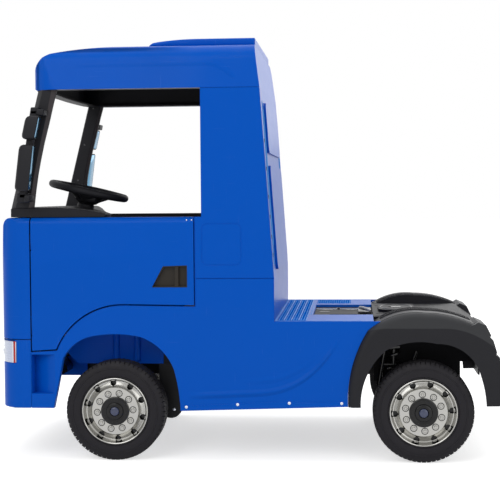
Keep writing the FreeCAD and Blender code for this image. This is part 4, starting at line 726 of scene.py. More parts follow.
    def mesh(self, name: str) -> bpy.types.Mesh:
        """Finishes the mesh with outward normals and sharp edges kept.

        Args:
            name: Mesh name.

        Returns:
            The mesh.
        """
        bmesh.ops.recalc_face_normals(self.bm, faces=self.bm.faces[:])
        for face in self.bm.faces:
            face.smooth = True
        for edge in self.bm.edges:
            edge.smooth = edge.calc_face_angle(math.pi) < self.SHARP
        mesh = bpy.data.meshes.new(name)
        self.bm.to_mesh(mesh)
        self.bm.free()
        return mesh


@dataclass
class Assembly:
    """Pieces that are built together and placed on the toy."""

    palette: Palette

    def build(self) -> None:
        """Builds the pieces."""
        raise NotImplementedError

    def piece(self, name: str, form: Form, finish: Finish, body: str = "body",
              replaces: Iterable[str] = (), place: Vector = Vector()) -> None:
        """Puts a form on a body of the toy.

        Args:
            name: Piece name.
            form: Its shape.
            finish: Its finish.
            body: CAD body that it rides on.
            replaces: CAD nodes that it stands for.
            place: Its origin.
        """
        mesh = form.mesh(name)
        mesh.materials.append(self.palette.material(finish))
        piece = bpy.data.objects.new(name, mesh)
        piece.location = place
        bpy.context.scene.collection.objects.link(piece)
        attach(piece, body)
        if replaces:
            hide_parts(*replaces)
        LOG.info("%s: %d faces on %s", name, len(mesh.polygons), body)

    @staticmethod
    @cache
    def skin(node: str) -> BVHTree:
        """Surface of a CAD node, made on the first call.

        Args:
            node: The node.

        Returns:
            Its faces, ready to be met by a line.
        """
        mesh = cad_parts[node].data
        return BVHTree.FromPolygons([vert.co for vert in mesh.vertices],
                                    [tuple(face.vertices) for face in mesh.polygons])

    @classmethod
    def surface(cls, node: str, start: Vector, way: Vector) -> Vector | None:
        """First place where a line from a start along a way meets a CAD node."""
        return cls.skin(node).ray_cast(start, way)[0]


@dataclass
class Wheel(Assembly):
    """Road wheel: tyre with its tread blocks, plated rim with its nuts, and stepped hub cap.

    Profiles are (y, radius) from the wheel's outer face.
    """

    corner: str
    radius: float = 0.125
    tread_base: float = 0.121
    tread_edge: float = 0.0085
    shoulder: float = 0.01
    width: float = 0.078
    block_rows: int = 4
    blocks: int = 64
    block_gap: float = 0.17
    block_skew: float = 5.0
    block_root: float = 0.0012
    groove: float = 0.002
    holes: int = 10
    hole_radius: float = 0.0078
    hole_circle: float = 0.0705
    nuts: int = 10
    nut_circle: float = 0.0455
    scallops: int = 8
    scallop_circle: float = 0.03
    segments: int = 96

    TURNS = {"front": 22.4, "rear": 3.8}
    SIDEWALL = ((0.0092, 0.0815), (0.0040, 0.0825), (0.0026, 0.0862), (0.0034, 0.0876),
                (0.0016, 0.0890), (0.0004, 0.0955), (0.0002, 0.1030), (0.0007, 0.1056),
                (-0.0003, 0.1064), (-0.0001, 0.1084), (0.0014, 0.1092), (0.0021, 0.1140),
                (0.0034, 0.1172), (0.0056, 0.1196))
    SHOULDER = ((0.0043, 0.1158), (0.0038, 0.1178), (0.0066, 0.1226))
    DISH = ((0.0090, 0.0822), (0.0030, 0.0836), (0.0010, 0.0832), (0.0004, 0.0820), (0.0010, 0.0806),
            (0.0034, 0.0798), (0.0060, 0.0790), (0.0110, 0.0772), (0.0138, 0.0752), (0.0144, 0.0728),
            (0.0128, 0.0682), (0.0098, 0.0630), (0.0070, 0.0606), (0.0048, 0.0596), (0.0040, 0.0584),
            (0.0040, 0.0400), (0.0044, 0.0360), (0.0044, 0.0260), (0.0160, 0.0250), (0.0700, 0.0160),
            (0.0770, 0.0160), (0.0770, 0.0240), (0.0240, 0.0420), (0.0160, 0.0560), (0.0190, 0.0660),
            (0.0230, 0.0760), (0.0740, 0.0770), (0.0760, 0.0800), (0.0740, 0.0812), (0.0240, 0.0800))
    DRILL = (-0.01, 0.0225)
    NUT = ((20, ((0.0046, 0.0070), (0.0030, 0.0070), (0.0026, 0.0064), (0.0026, 0.0056))),
           (6, ((0.0030, 0.0054), (0.0006, 0.0052), (0.0002, 0.0046))),
           (14, ((0.0010, 0.0040), (-0.0014, 0.0038), (-0.0024, 0.0028), (-0.0027, 0.0012))))
    WASHER = ((0.0042, 0.0088), (0.0034, 0.0088), (0.0029, 0.0083), (0.0029, 0.0063), (0.0042, 0.0063))
    BACKING = ((0.0270, 0.0170), (0.0270, 0.0765), (0.0290, 0.0765), (0.0290, 0.0170))
    CAP = ((0.0043, 0.0354), (0.0016, 0.0358), (-0.0004, 0.0352), (-0.0012, 0.0338), (-0.0014, 0.0262),
           (-0.0004, 0.0240), (-0.0006, 0.0222), (-0.0036, 0.0206), (-0.0044, 0.0192),
           (-0.0044, 0.0128), (-0.0034, 0.0116), (0.0000, 0.0114), (0.0043, 0.0114))
    SCALLOP = ((-0.0010, 0.0030), (-0.0024, 0.0028), (-0.0030, 0.0018))
    DOME = ((0.0010, 0.0112), (-0.0034, 0.0112), (-0.0052, 0.0100), (-0.0062, 0.0076),
            (-0.0067, 0.0040), (-0.0068, 0.0010))

    def build(self) -> None:
        """Builds the wheel's pieces on its body."""
        axle, side = self.corner.split("_")
        low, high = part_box("tyre_" + self.corner)
        hub = (low + high) / 2
        hub.y = low.y if side == "left" else high.y
        lie = Matrix.Rotation(0.0 if side == "left" else math.pi, 4, "Z") \
            @ Matrix.Rotation(-math.radians(self.TURNS[axle]), 4, "Y")
        for kind, form, finish in (("tyre", self.tyre(), TYRE_BLACK), ("rim", self.rim(), PLATED),
                                   ("hubcap", self.cap(), CAP_BLACK)):
            node = f"{kind}_{self.corner}"
            self.piece(node + "_dressed", form.moved(lie), finish, "wheel_" + self.corner, (node,), hub)
        washers = Form()
        for centre in circle(self.nut_circle, self.nuts, 0.5):
            washers.lathe(self.WASHER, 24, centre=centre)
        for name, form, finish in (
                (f"hubcap_{self.corner}_dome", Form().lathe(self.DOME, 32, False), CAP_BLUE),
                (f"nut_washers_{self.corner}", washers, PLATED_SHADE),
                (f"rim_backing_{self.corner}", Form().lathe(self.BACKING, self.segments), CAP_BLACK)):
            self.piece(name, form.moved(lie), finish, "wheel_" + self.corner, place=hub)

    def tyre(self) -> Form:
        """Carcass with sidewall rings, and rows of tread blocks round it.

        Returns:
            The tyre.
        """
        outer = [*self.SIDEWALL, (self.tread_edge, self.tread_base)]
        inner = [(self.width - y, r) for y, r in reversed(outer)]
        form = Form().lathe(outer + inner, self.segments)
        for row in range(self.block_rows):
            self._blocks(form, row)
        return form

    def _blocks(self, form: Form, row: int) -> None:
        """One row of tread blocks, which wraps over the shoulder in the outermost rows.

        Args:
            form: Mesh to add to.
            row: Its number from the outer face.
        """
        top, foot = self.radius, self.tread_base - self.block_root
        pitch = self.width / self.block_rows
        inner = row >= self.block_rows / 2
        outermost = row in (0, self.block_rows - 1)
        if outermost:
            section = [*self.SHOULDER, (self.shoulder, top), (pitch - self.groove, top),
                       (pitch - self.groove, foot)]
            if inner:
                section = [(self.width - y, r) for y, r in section]
        else:
            near, far = row * pitch + self.groove, (row + 1) * pitch - self.groove
            section = [(near, foot), (near, top), (far, top), (far, foot)]
        step = FULL_TURN / self.blocks
        skew = 0.0 if outermost else self.block_skew * (1 if inner else -1)
        for i in range(self.blocks):
            begin = (i + (0.5 if inner else 0.0)) * step
            form.swept(section, begin, begin + step * (1 - self.block_gap), 2, skew)

    def rim(self) -> Form:
        """Dished rim with hand holes and capped nuts.

        Returns:
            The rim.
        """
        drills = Form()
        for centre in circle(self.hole_circle, self.holes):
            drills.lathe([(y, self.hole_radius) for y in self.DRILL], 20, False, centre)
        form = Form().lathe(self.DISH, self.segments).minus(drills)
        for centre in circle(self.nut_circle, self.nuts, 0.5):
            for sides, profile in self.NUT:
                form.lathe(profile, sides, False, centre)
        return form

    def cap(self) -> Form:
        """Black stepped cap with scallops round its edge.

        Returns:
            The cap.
        """
        form = Form().lathe(self.CAP, 64)
        for centre in circle(self.scallop_circle, self.scallops, 0.25):
            form.lathe(self.SCALLOP, 12, False, centre)
        return form


@dataclass
class SteeringWheel(Assembly):
    """Steering wheel with its grips, spokes, pad and column."""

    centre: Vector = Vector((-0.426, -0.15, 0.679))
    tilt: float = 12.7
    radius: float = 0.097
    grip: float = 0.0095
    thumb_swell: float = 0.07
    drop: float = 0.03
    around: int = 96
    grip_sides: int = 14

    COLUMN = ((0.006, 0.042), (0.016, 0.040), (0.026, 0.031), (0.032, 0.026), (0.034, 0.012),
              (0.036, 0.0078), (0.094, 0.0078))
    PAD = ((-0.026, 0.03), (-0.034, 0.034), (-0.028, -0.012))
    BUTTONS_X, BUTTONS_Y = (0.016, -0.002), (-0.024, 0.024)
    BUTTON_HALF, BUTTON_HEIGHTS = 0.005, (-0.013, -0.01)

    @classmethod
    def lie(cls) -> Matrix:
        """Tilt of the wheel's plane."""
        return Matrix.Rotation(math.radians(cls.tilt), 4, "Y")

    @classmethod
    def column(cls) -> Matrix:
        """Frame whose Y runs down the column from the wheel."""
        return Matrix.Translation(cls.centre) @ cls.lie() @ Matrix.Rotation(math.radians(-90), 4, "X")

    def build(self) -> None:
        """Builds the wheel on its column's body."""
        self.piece("steering_wheel_dressed", self.rim().moved(self.lie()), CHARCOAL, "steering",
                   ("steering_wheel",), self.centre)
        self.piece("steering_wheel_pad", self.pad().moved(self.lie()), BLACK, "steering",
                   place=self.centre)

    def rim(self) -> Form:
        """Grip ring, swollen at the thumb places, with three spokes and the shaft.

        Returns:
            The rim in its own plane.
        """
        rings = []
        for i in range(self.around):
            turn = FULL_TURN * i / self.around
            thick = self.grip * (1 + self.thumb_swell * max(0.0, math.cos(2 * turn + math.pi)) ** 3)
            rings.append([Vector(((self.radius + out) * math.cos(turn), (self.radius + out) * math.sin(turn),
                                  up)) for out, up in circle(thick, self.grip_sides)])
        form = Form().loft(rings, closed=True)
        spoke = [self._spoke_ring(share) for share in (0.0, 0.25, 0.55, 0.8, 1.0)]
        for turn in (0, 120, 240):
            swing = Matrix.Rotation(math.radians(turn), 3, "Z")
            form.loft([[swing @ point for point in ring] for ring in spoke])
        return form.join(Form().lathe(self.COLUMN, 36, False), Matrix.Rotation(math.radians(-90), 4, "X"))

    def _spoke_ring(self, share: float) -> list[Vector]:
        """Cross-section of a spoke.

        Args:
            share: Place from the hub at 0 to the grip at 1.

        Returns:
            Its corners.
        """
        reach = 0.016 + share * (self.radius - 0.019)
        height = -self.drop * (1 - share) ** 1.6 + 0.004 - 0.006 * (1 - share)
        half = 0.013 - 0.004 * math.sin(math.pi * share)
        thick = 0.005 + 0.004 * (1 - share)
        corners = ((-1, -0.4), (-0.7, -1), (0.7, -1), (1, -0.4), (1, 0.4), (0.7, 1), (-0.7, 1), (-1, 0.4))
        return [Vector((reach, y * half, height + z * thick / 2)) for y, z in corners]

    def pad(self) -> Form:
        """Rounded pad over the hub with two blank buttons on each side.

        Returns:
            The pad.
        """
        form = Form().block(*self.PAD, 0.006, 3)
        half = self.BUTTON_HALF
        for y in self.BUTTONS_Y:
            for x in self.BUTTONS_X:
                form.block((x - half, x + half), (y - half, y + half), self.BUTTON_HEIGHTS, 0.001)
        return form


@dataclass
class MirrorSet(Assembly):
    """Pair of mirrors on one side: leaning shells with sunk plates, their stalk and brackets.

    Shells are (front at the foot, depth, foot and head, lean). Brackets are (front and rear, insets
    from the set's outer side, foot and head, lean, edge radius).
    """

    side: str
    width: float = 0.052
    turn: float = 0.12
    lip: float = 0.0025
    sink: float = 0.0008
    corner: float = 0.008

    SHELLS = ((-0.550, 0.034, (0.807, 0.865), 0.226), (-0.569, 0.036, (0.679, 0.794), 0.125))
    BRACKETS = (((-0.5285, -0.5075), (0.055, 0.022), (0.868, 0.8868), 0.15, 0.003),
                ((-0.509, -0.4915), (0.060, 0.012), (0.866, 0.881), 0.15, 0.0025),
                ((-0.566, -0.537), (0.060, 0.022), (0.6505, 0.674), 0.12, 0.004),
                ((-0.543, -0.529), (0.058, 0.010), (0.6525, 0.669), 0.12, 0.0025),
                ((-0.560, -0.541), (0.036, 0.022), (0.66, 0.88), 0.15, 0.003))

    def build(self) -> None:
        """Builds the housings and plates in the CAD mirror's place."""
        sign = SIDES[self.side]
        low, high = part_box("mirror_" + self.side)
        outer = max(abs(low.y), abs(high.y))
        middle = outer - self.width / 2
        housings, plates = Form(), Form()
        for front, depth, zs, lean in self.SHELLS:
            back, lip = depth - self.sink, self.lip
            for form, steps in (
                    (housings, ((0.0, 0.012), (0.0015, 0.0065), (0.005, 0.0022), (0.011, 0.0),
                                (depth - 0.0012, 0.0), (depth, 0.0012), (depth, lip), (back, lip + 0.0004))),
                    (plates, ((back - 0.0004, lip + 0.0010), (back + 0.0008, lip + 0.0010),
                              (back + 0.0011, lip + 0.0016)))):
                form.loft([[Vector((front + deep + lean * (z - zs[0]) + self.turn * (y - middle),
                                    sign * y, z)) for y, z in self._outline(outer, zs, inset)]
                           for deep, inset in steps])
        for xs, insets, zs, lean, radius in self.BRACKETS:
            housings.block(xs, [outer - inset for inset in insets], zs, radius, 3, sign, lean)
        self.piece(f"mirror_{self.side}_housings", housings, BLACK, replaces=("mirror_" + self.side,))
        self.piece(f"mirror_{self.side}_plates", plates, FOIL,
                   replaces=("mirror_faces",) if sign < 0 else ())

    def _outline(self, outer: float, zs: Pair, inset: float) -> list[Pair]:
        """Rounded outline of a shell, drawn in by an inset.

        Args:
            outer: Outer distance from the middle plane.
            zs: Foot and head.
            inset: How far it is drawn in.

        Returns:
            Its points as (distance from the middle plane, height).
        """
        radius = max(self.corner - inset * 0.6, 0.002)
        draw = inset + radius
        inner = outer - self.width
        middles = ((outer - draw, zs[1] - draw), (inner + draw, zs[1] - draw), (inner + draw, zs[0] + draw),
                   (outer - draw, zs[0] + draw))
        turns = [[math.radians(90 * k + 18 * step) for step in range(6)] for k in range(4)]
        return [(y + radius * math.cos(turn), z + radius * math.sin(turn))
                for (y, z), corner in zip(middles, turns) for turn in corner]


@dataclass
class Pillars(Assembly):
    """Windscreen pillars: swept moulding with a curved rear edge, bevelled on both faces, with paler strips
    over the bevels as painted highlight.
    """

    front: Pair = (-0.5818, -0.5085)
    bevel: Pair = (-0.545, -0.4825)
    inner: float = 0.3005
    outer: float = 0.3248
    trim: Pair = (0.002, 0.008)
    proud: float = 0.0004
    screw: float = 0.0026

    REAR = ((0.637, -0.5322), (0.68, -0.526), (0.721, -0.519), (0.76, -0.511),
            (0.8, -0.502), (0.856, -0.4872), (0.9, -0.4765), (0.932, -0.4675))
    SCREWS = ((-0.504, 0.928), (-0.532, 0.819), (-0.553, 0.713))

    def build(self) -> None:
        """Builds both pillars, their strips of painted highlight over the bevels, and the screws of their
        inner faces.
        """
        posts, strips, screws = Form(), Form(), Form()
        foot, head = self.REAR[0][0], self.REAR[-1][0]
        for sign in (-1, 1):
            rings, outer_strip, inner_strip = [], [], []
            for z, place in self.REAR:
                share = (z - foot) / (head - foot)
                back = place - self.trim[sign > 0] * math.sin(math.pi * min(share * 1.2, 0.5))
                front = self.front[0] + share * (self.front[1] - self.front[0])
                edge = min(self.bevel[0] + share * (self.bevel[1] - self.bevel[0]), back - 0.008)
                flat = ((front - 0.008, self.inner), (front - 0.011, self.inner + 0.004),
                        (front, self.outer - 0.005), (front + 0.005, self.outer), (edge, self.outer),
                        (back, self.outer - 0.0085), (back, self.inner + 0.0085), (edge, self.inner))
                rings.append([Vector((x, sign * y, z)) for x, y in flat])
                outer_strip.append(self._strip(flat[4], flat[5], sign, z, self.proud))
                inner_strip.append(self._strip(flat[7], flat[6], sign, z, -self.proud))
            posts.loft(rings)
            strips.loft(outer_strip).loft(inner_strip)
            for centre in self.SCREWS:
                y = sign * self.inner
                screws.lathe([(y + sign * 0.001, self.screw), (y - sign * 0.0007, self.screw),
                              (y - sign * 0.001, self.screw / 2)], 14, False, centre)
        self.piece("pillars_dressed", posts, BLACK, replaces=("pillars",))
        self.piece("pillar_bevel_highlights", strips, PILLAR_HIGHLIGHT)
        self.piece("pillar_screws", screws, EDGE_GREY_HIGHLIGHT)

    @staticmethod
    def _strip(start: Pair, end: Pair, sign: int, z: float, proud: float) -> list[Vector]:
        """Cross-section of a thin strip of painted highlight over a bevel.

        Args:
            start: Bevel's edge on the face, as (x, distance from the middle plane).
            end: Bevel's rear edge.
            sign: -1 on the left and 1 on the right.
            z: Height.
            proud: How far it stands over the bevel, along Y.

        Returns:
            Its corners.
        """
        near, far = (Vector(start).lerp(Vector(end), share) for share in (0.08, 0.94))
        corners = ((near, -proud), (near, proud), (far, proud), (far, -proud))
        return [Vector((p.x + abs(lift) * (1 if lift * proud > 0 else -1), sign * (p.y + lift), z))
                for p, lift in corners]


@dataclass
class Dashboard(Assembly):
    """Windscreen cowl and dashboard in one moulding, with dials, vents and blank switches."""

    rear_near: float = -0.349
    rear_far: float = -0.468
    lip_top: float = 0.637
    lip_foot: float = 0.6132
    low: float = 0.47
    seam: float = -0.5405
    seam_shelf: float = 0.03
    cowl_front: float = -0.5895
    cowl_bow: float = 0.018
    half: float = 0.3248
    shelf_half: float = 0.3075
    bore: float = 0.009
    face_slope: Pair = (0.016, 0.04)

    TOP = ((0.0, 0.0), (0.2, 0.02), (0.4, 0.12), (0.6, 0.35), (0.8, 0.7), (0.94, 0.96))
    SHROUD = ((0.0335, 0.009), (0.0335, 0.0185), (0.036, 0.0215), (0.05, 0.0235), (0.07, 0.0275),
              (0.082, 0.032), (0.082, 0.009))
    DIALS = ((-0.175, 0.017), (-0.125, 0.017), (0.02, 0.011), (0.05, 0.011))
    VENTS = (-0.27, 0.13, 0.19)
    SWITCHES = (-0.05, -0.034, -0.018, -0.002)
    SLAT = ((-0.0012, 0.0022), (-0.02, 0.02), (-0.0012, 0.0012))
    SLAT_HEIGHTS = (-0.012, -0.006, 0.0, 0.006, 0.012)
    KEY, KEY_HEIGHT = ((-0.001, 0.0025), (-0.0055, 0.0055), (-0.004, 0.004)), -0.004

    def build(self) -> None:
        """Builds the moulding and its fittings."""
        edge = [self.half, self.half - 0.002, 0.31, self.shelf_half + 0.0004, self.shelf_half]
        stations = [-y for y in edge] + [-0.3 + 0.02 * i for i in range(31)] + edge[::-1]
        column = SteeringWheel.column()
        drill = Form().lathe([(0.0, self.bore), (0.1, self.bore)], 32, False).moved(column)
        whole = Form().loft([self._section(y) for y in stations]).minus(drill)
        whole.join(Form().lathe(self.SHROUD, 40), column)
        self.piece("dashboard_dressed", whole, CHARCOAL, replaces=("dashboard",))
        self._fittings()

    def _rear(self, y: float) -> float:
        """Rear edge of the top, further forward on the passenger's side."""
        share = min(max((y + 0.28) / 0.5, 0.0), 1.0)
        return self.rear_near + (self.rear_far - self.rear_near) * share * share * (3 - 2 * share)

    @staticmethod
    def _fall(y: float) -> float:
        """Fall of the top to its rear edge, larger on the passenger's side."""
        return 0.014 + 0.01 * min(max((y + 0.3) / 0.6, 0.0), 1.0)

    def _section(self, y: float) -> list[Vector]:
        """Outline across the dashboard.

        Args:
            y: Place across the toy.

        Returns:
            Its points, from the front foot over the top and back along the face.
        """
        rear = self._rear(y)
        lip = abs(y) > self.shelf_half
        foot = self.lip_foot if lip else self.low
        front = self.cowl_front - self.cowl_bow * (1 - (abs(y) / self.half) ** 3)
        top = self.lip_top - (0.002 if abs(abs(y) - self.half) <= 0.001 else 0.0)
        hood = 0.004 * math.exp(-((y + 0.15) / 0.075) ** 2)
        shelf = self.seam + self.seam_shelf
        edge = top - self._fall(y)
        points = [(self.seam, foot), (self.seam, foot + 0.0002 if lip else self.lip_foot),
                  (front, self.lip_foot), (front, top - 0.003), (front + 0.003, top)]
        points += [(shelf + share * (rear - shelf),
                    top - self._fall(y) * drop + hood * math.sin(math.pi * share))
                   for share, drop in self.TOP]
        points += [(rear - 0.002, edge - 0.0012), (rear, edge - 0.004)]
        if lip:
            points += [(rear - 0.0005, edge - 0.006), (rear - 0.001, foot + 0.0012),
                       (rear - 0.0015, foot + 0.0006), (rear - 0.003, foot + 0.0002), (rear - 0.005, foot),
                       (rear - 0.008, foot)]
        else:
            points += [(rear - 0.001, edge - 0.012), (rear - 0.008, edge - 0.02),
                       (rear - 0.024, edge - 0.06), (rear - 0.05, edge - 0.075),
                       (max(rear - 0.07, shelf), foot + 0.02), (max(rear - 0.076, shelf), foot)]
        return [Vector((x, y, z)) for x, z in points]

    def _fittings(self) -> None:
        """Places dial rings, vents and blank switches on the sloping face."""
        rings, faces = Form(), Form()
        for y, r in self.DIALS:
            turn = self._face(y) @ Matrix.Rotation(math.radians(90), 4, "Z")
            rings.join(Form().lathe([(0.002, r), (-0.0016, r), (-0.0022, r * 0.93), (-0.0016, r * 0.85),
                                     (0.002, r * 0.85)], 32), turn)
            faces.join(Form().lathe([(0.001, r * 0.84), (-0.0004, r * 0.84), (-0.0006, r * 0.3)], 32, False),
                       turn)
        for y in self.VENTS:
            for z in self.SLAT_HEIGHTS:
                faces.join(Form().block(*self.SLAT, 0.0005), self._face(y) @ Matrix.Translation((0, 0, z)))
        for y in self.SWITCHES:
            rings.join(Form().block(*self.KEY, 0.0012, 2),
                       self._face(y) @ Matrix.Translation((0, 0, self.KEY_HEIGHT)))
        self.piece("dashboard_rings", rings, BARE_STEEL)
        self.piece("dashboard_faces", faces, CAP_BLACK)

    def _face(self, y: float) -> Matrix:
        """Frame at the sloping face's middle, X out of it.

        Args:
            y: Place across the toy.

        Returns:
            The frame.
        """
        across, down = self.face_slope
        middle = Vector((self._rear(y) - across, y, self.lip_top - self._fall(y) - down))
        return Matrix.Translation(middle) @ Matrix.Rotation(math.atan2(across, down), 4, "Y")


@dataclass
class Seat(Assembly):
    """Bench of two moulded places with raised borders and pressed grooves."""

    half: float = 0.25
    places: int = 2
    border: float = 0.011
    stations: int = 64
    cushion_steps: int = 12
    back_steps: int = 14
    cushion_groove: float = 0.0028
    back_groove: float = 0.003

    GROOVES = (3, 6, 9)

    def build(self) -> None:
        """Builds the bench in the CAD seat's place."""
        across = [-self.half + 2 * self.half * i / self.stations for i in range(self.stations + 1)]
        self.piece("seat_dressed", Form().loft([self._section(y) for y in across]), SEAT_BLACK,
                   replaces=("seat",))

    def _section(self, y: float) -> list[Vector]:
        """Outline across the bench.

        Args:
            y: Place across the toy.

        Returns:
            Its points.
        """
        wave = (0.5 + 0.5 * math.cos(math.pi * y * self.places / self.half)) ** 2
        edge = max(0.0, 1 - (self.half - abs(y)) / 0.012)
        draw = 0.006 * edge * edge
        raised = self.border * wave - draw
        grooves = self.GROOVES if wave < 0.3 else ()
        low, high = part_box("seat")
        x0, z0 = low.x, low.z
        points = [(x0 + 0.003 + draw, z0), (x0 + draw, z0 + 0.004), (x0 + draw, z0 + 0.018),
                  (x0 + 0.004 + draw, z0 + 0.024 - draw), (x0 + 0.014, z0 + 0.028 + raised * 0.5)]
        for step in range(self.cushion_steps):
            share = step / (self.cushion_steps - 1)
            sunk = self.cushion_groove if step in grooves else 0.0
            points.append((x0 + 0.024 + 0.138 * share,
                           z0 + 0.0285 - 0.009 * share - sunk + raised * (1 - 0.5 * share)))
        points += [(x0 + 0.172, z0 + 0.022 + raised * 0.3), (x0 + 0.179 - raised * 0.5, z0 + 0.032)]
        for step in range(self.back_steps):
            share = step / (self.back_steps - 1)
            sunk = self.back_groove if step in grooves else 0.0
            points.append((x0 + 0.182 + 0.026 * share + sunk - raised * 0.9, z0 + 0.045 + 0.172 * share))
        points += [(x0 + 0.212 - raised * 0.4, z0 + 0.233 - draw), (x0 + 0.220, z0 + 0.2425 - draw),
                   (high.x - 0.022, high.z - draw), (high.x - 0.014, high.z - 0.003 - draw),
                   (high.x - 0.010, high.z - 0.012 - draw), (high.x - 0.002, z0 + 0.01), (high.x - 0.004, z0)]
        return [Vector((x, y, z)) for x, z in points]


@dataclass
class DeckPattern(Assembly):
    """Tread on the deck behind the cab: sheets of lozenges, edged ridges and the tray's rim, the raised parts
    in a paler blue as painted highlight.
    """

    level: float = 0.351
    half: float = 0.3145
    pitch: float = 0.0092
    row_pitch: float = 0.0062
    lozenge: Pair = (0.0021, 0.0034)
    lozenge_top: float = 0.35
    lozenge_height: float = 0.0009
    rib_half: float = 0.0009
    rib_over: float = 0.001
    rib_land: float = 0.0019

    RIBS = (0.097, 0.1155, 0.134, 0.1525)
    FRONT_ZONE = (0.0815, 0.0951)
    SIDE_ZONE, SIDE_ZONE_INNER = (0.1662, 0.262), 0.196
    RIM = (((0.1585, 0.1605), (-0.152, 0.152)), ((0.077, 0.3195), (-0.3285, -0.3265)),
           ((0.077, 0.3195), (0.3265, 0.3285)), ((0.0755, 0.0775), (-0.32, 0.32)))

    def build(self) -> None:
        """Builds the tread over the CAD deck."""
        mats, lozenges, lines = Form(), Form(), Form()
        between = [(a + self.rib_land, b - self.rib_land) for a, b in zip(self.RIBS, self.RIBS[1:])]
        zones = [(xs, (-self.half, self.half)) for xs in (self.FRONT_ZONE, *between)]
        for xs, ys in (*zones, (self.SIDE_ZONE, (self.SIDE_ZONE_INNER, self.half))):
            mats.block(xs, ys, (self.level - 0.0004, self.level + 0.0003))
            self._lozenges(lozenges, xs, ys)
        reach = self.half + self.rib_over
        for place in self.RIBS:
            lines.block((place - self.rib_half, place + self.rib_half), (-reach, reach),
                        (self.level + 0.0010, self.level + 0.0016), 0.0002)
        for xs, ys in self.RIM:
            lines.block(xs, ys, (self.level - 0.0004, self.level + 0.0006), 0.0003)
        self.piece("deck_tread", mats, BLUE_MAT)
        self.piece("deck_lozenges", lozenges, BLUE_HIGHLIGHT)
        self.piece("deck_edges", lines, BLUE_HIGHLIGHT)

    def _lozenges(self, form: Form, xs: Pair, ys: Pair) -> None:
        """Fills a zone with raised lozenges.

        Args:
            form: Mesh to add to.
            xs: Zone's front and rear.
            ys: Zone's left and right edges.
        """
        rows = max(1, round((xs[1] - xs[0]) / self.row_pitch))
        step = (xs[1] - xs[0]) / rows
        long, wide = self.lozenge
        for row in range(rows):
            x = xs[0] + (row + 0.5) * step
            shift = self.pitch / 2 if row % 2 else 0.0
            for k in range(int((ys[1] - ys[0]) / self.pitch) - 1):
                y = ys[0] + self.pitch * (k + 0.75) + shift
                form.loft([[Vector((x + dx * size, y + dy * size, self.level + rise))
                            for dx, dy in ((long, 0), (0, wide), (-long, 0), (0, -wide))]
                           for size, rise in ((1.0, 0.0), (self.lozenge_top, self.lozenge_height))])


@dataclass
class Coupling(Assembly):
    """Moulded lines of the sliding plate, its latch, and the coupling's ring and slot; the plate's recesses
    and slots are dark sheets of painted shade.

    Fans are (middle, half length). Slots are (front and rear, left edge).
    """

    plate: float = 0.344
    cover: float = 0.351
    fan_edge: float = 0.118
    fan_tip: float = 0.06
    slot_width: float = 0.012
    sunk: float = 0.0005
    arc_steps: int = 20

    BAR = ((0.1665, 0.318), (-0.148, -0.143))
    CATCH = ((0.283, 0.3185), (-0.05, 0.075))
    SLOT = ((0.372, 0.3985), (-0.012, 0.012), (0.3575, 0.3588))
    FANS = ((0.196, 0.034), (0.262, 0.034))
    SLOTS = (((0.178, 0.206), -0.112), ((0.268, 0.292), -0.112), ((0.178, 0.206), 0.006))
    LATCH = ((0.289, 0.055, 0.3515), (0.297, 0.02, 0.3535), (0.3085, -0.02, 0.3525),
             (0.3165, -0.045, 0.3495))
    RING, RING_X, RING_Z = (0.042, 0.078), 0.3853, 0.3582
    COVER_ARCS = (((0.326, -0.19), (0.36, -0.172), (0.44, -0.166)),
                  ((0.326, 0.19), (0.36, 0.172), (0.44, 0.166)),
                  ((0.33, -0.125), (0.395, -0.108), (0.47, -0.128)),
                  ((0.33, 0.125), (0.395, 0.108), (0.47, 0.128)))

    def build(self) -> None:
        """Builds the fittings on the tray and the tail."""
        edges, dark = Form(), Form()
        plate, edge = self.plate, self.fan_edge
        for middle, reach in self.FANS:
            arc = arc_points((middle - reach, edge), (middle, self.fan_tip), (middle + reach, edge),
                             self.arc_steps)
            edges.tube([Vector((x, y, plate)) for x, y in arc], 0.0012, 6)
            # Dark sheet over the fan: painted shade of its recess.
            dark.loft([[Vector((x, y, plate - 0.0006)), Vector((x, edge + 0.002, plate - 0.0006)),
                        Vector((x, edge + 0.002, plate + 0.0006)), Vector((x, y, plate + 0.0006))]
                       for x, y in arc])
        # Slots as dark sheets on the plate: painted shade.
        for xs, y in self.SLOTS:
            dark.block(xs, (y, y + self.slot_width), (plate - self.sunk, plate + self.sunk), 0.0002)
        edges.block(*self.BAR, (plate - self.sunk, plate + 0.0016), 0.0006)
        dark.block(*self.CATCH, (plate - self.sunk, plate + 0.006), 0.002, 2)
        ring = [Vector((self.RING_X + self.RING[0] * a, self.RING[1] * b, self.RING_Z))
                for a, b in circle(1.0, 40)]
        edges.tube(ring + ring[:1], 0.0014, 6)
        # The coupling's slot as a dark sheet: painted shade.
        dark.block(*self.SLOT, 0.0003)
        for run in self.COVER_ARCS:
            edges.tube([Vector((x, y, self.cover)) for x, y in arc_points(*run, self.arc_steps)], 0.0011, 6)
        # The ridges are lighter than the plate: painted highlight.
        self.piece("coupling_lines", edges, EDGE_GREY_HIGHLIGHT)
        self.piece("coupling_recesses", dark, GLOSS_BLACK)
        self.piece("coupling_latch", Form().tube([Vector(p) for p in self.LATCH], 0.0042, 12), BARE_STEEL)


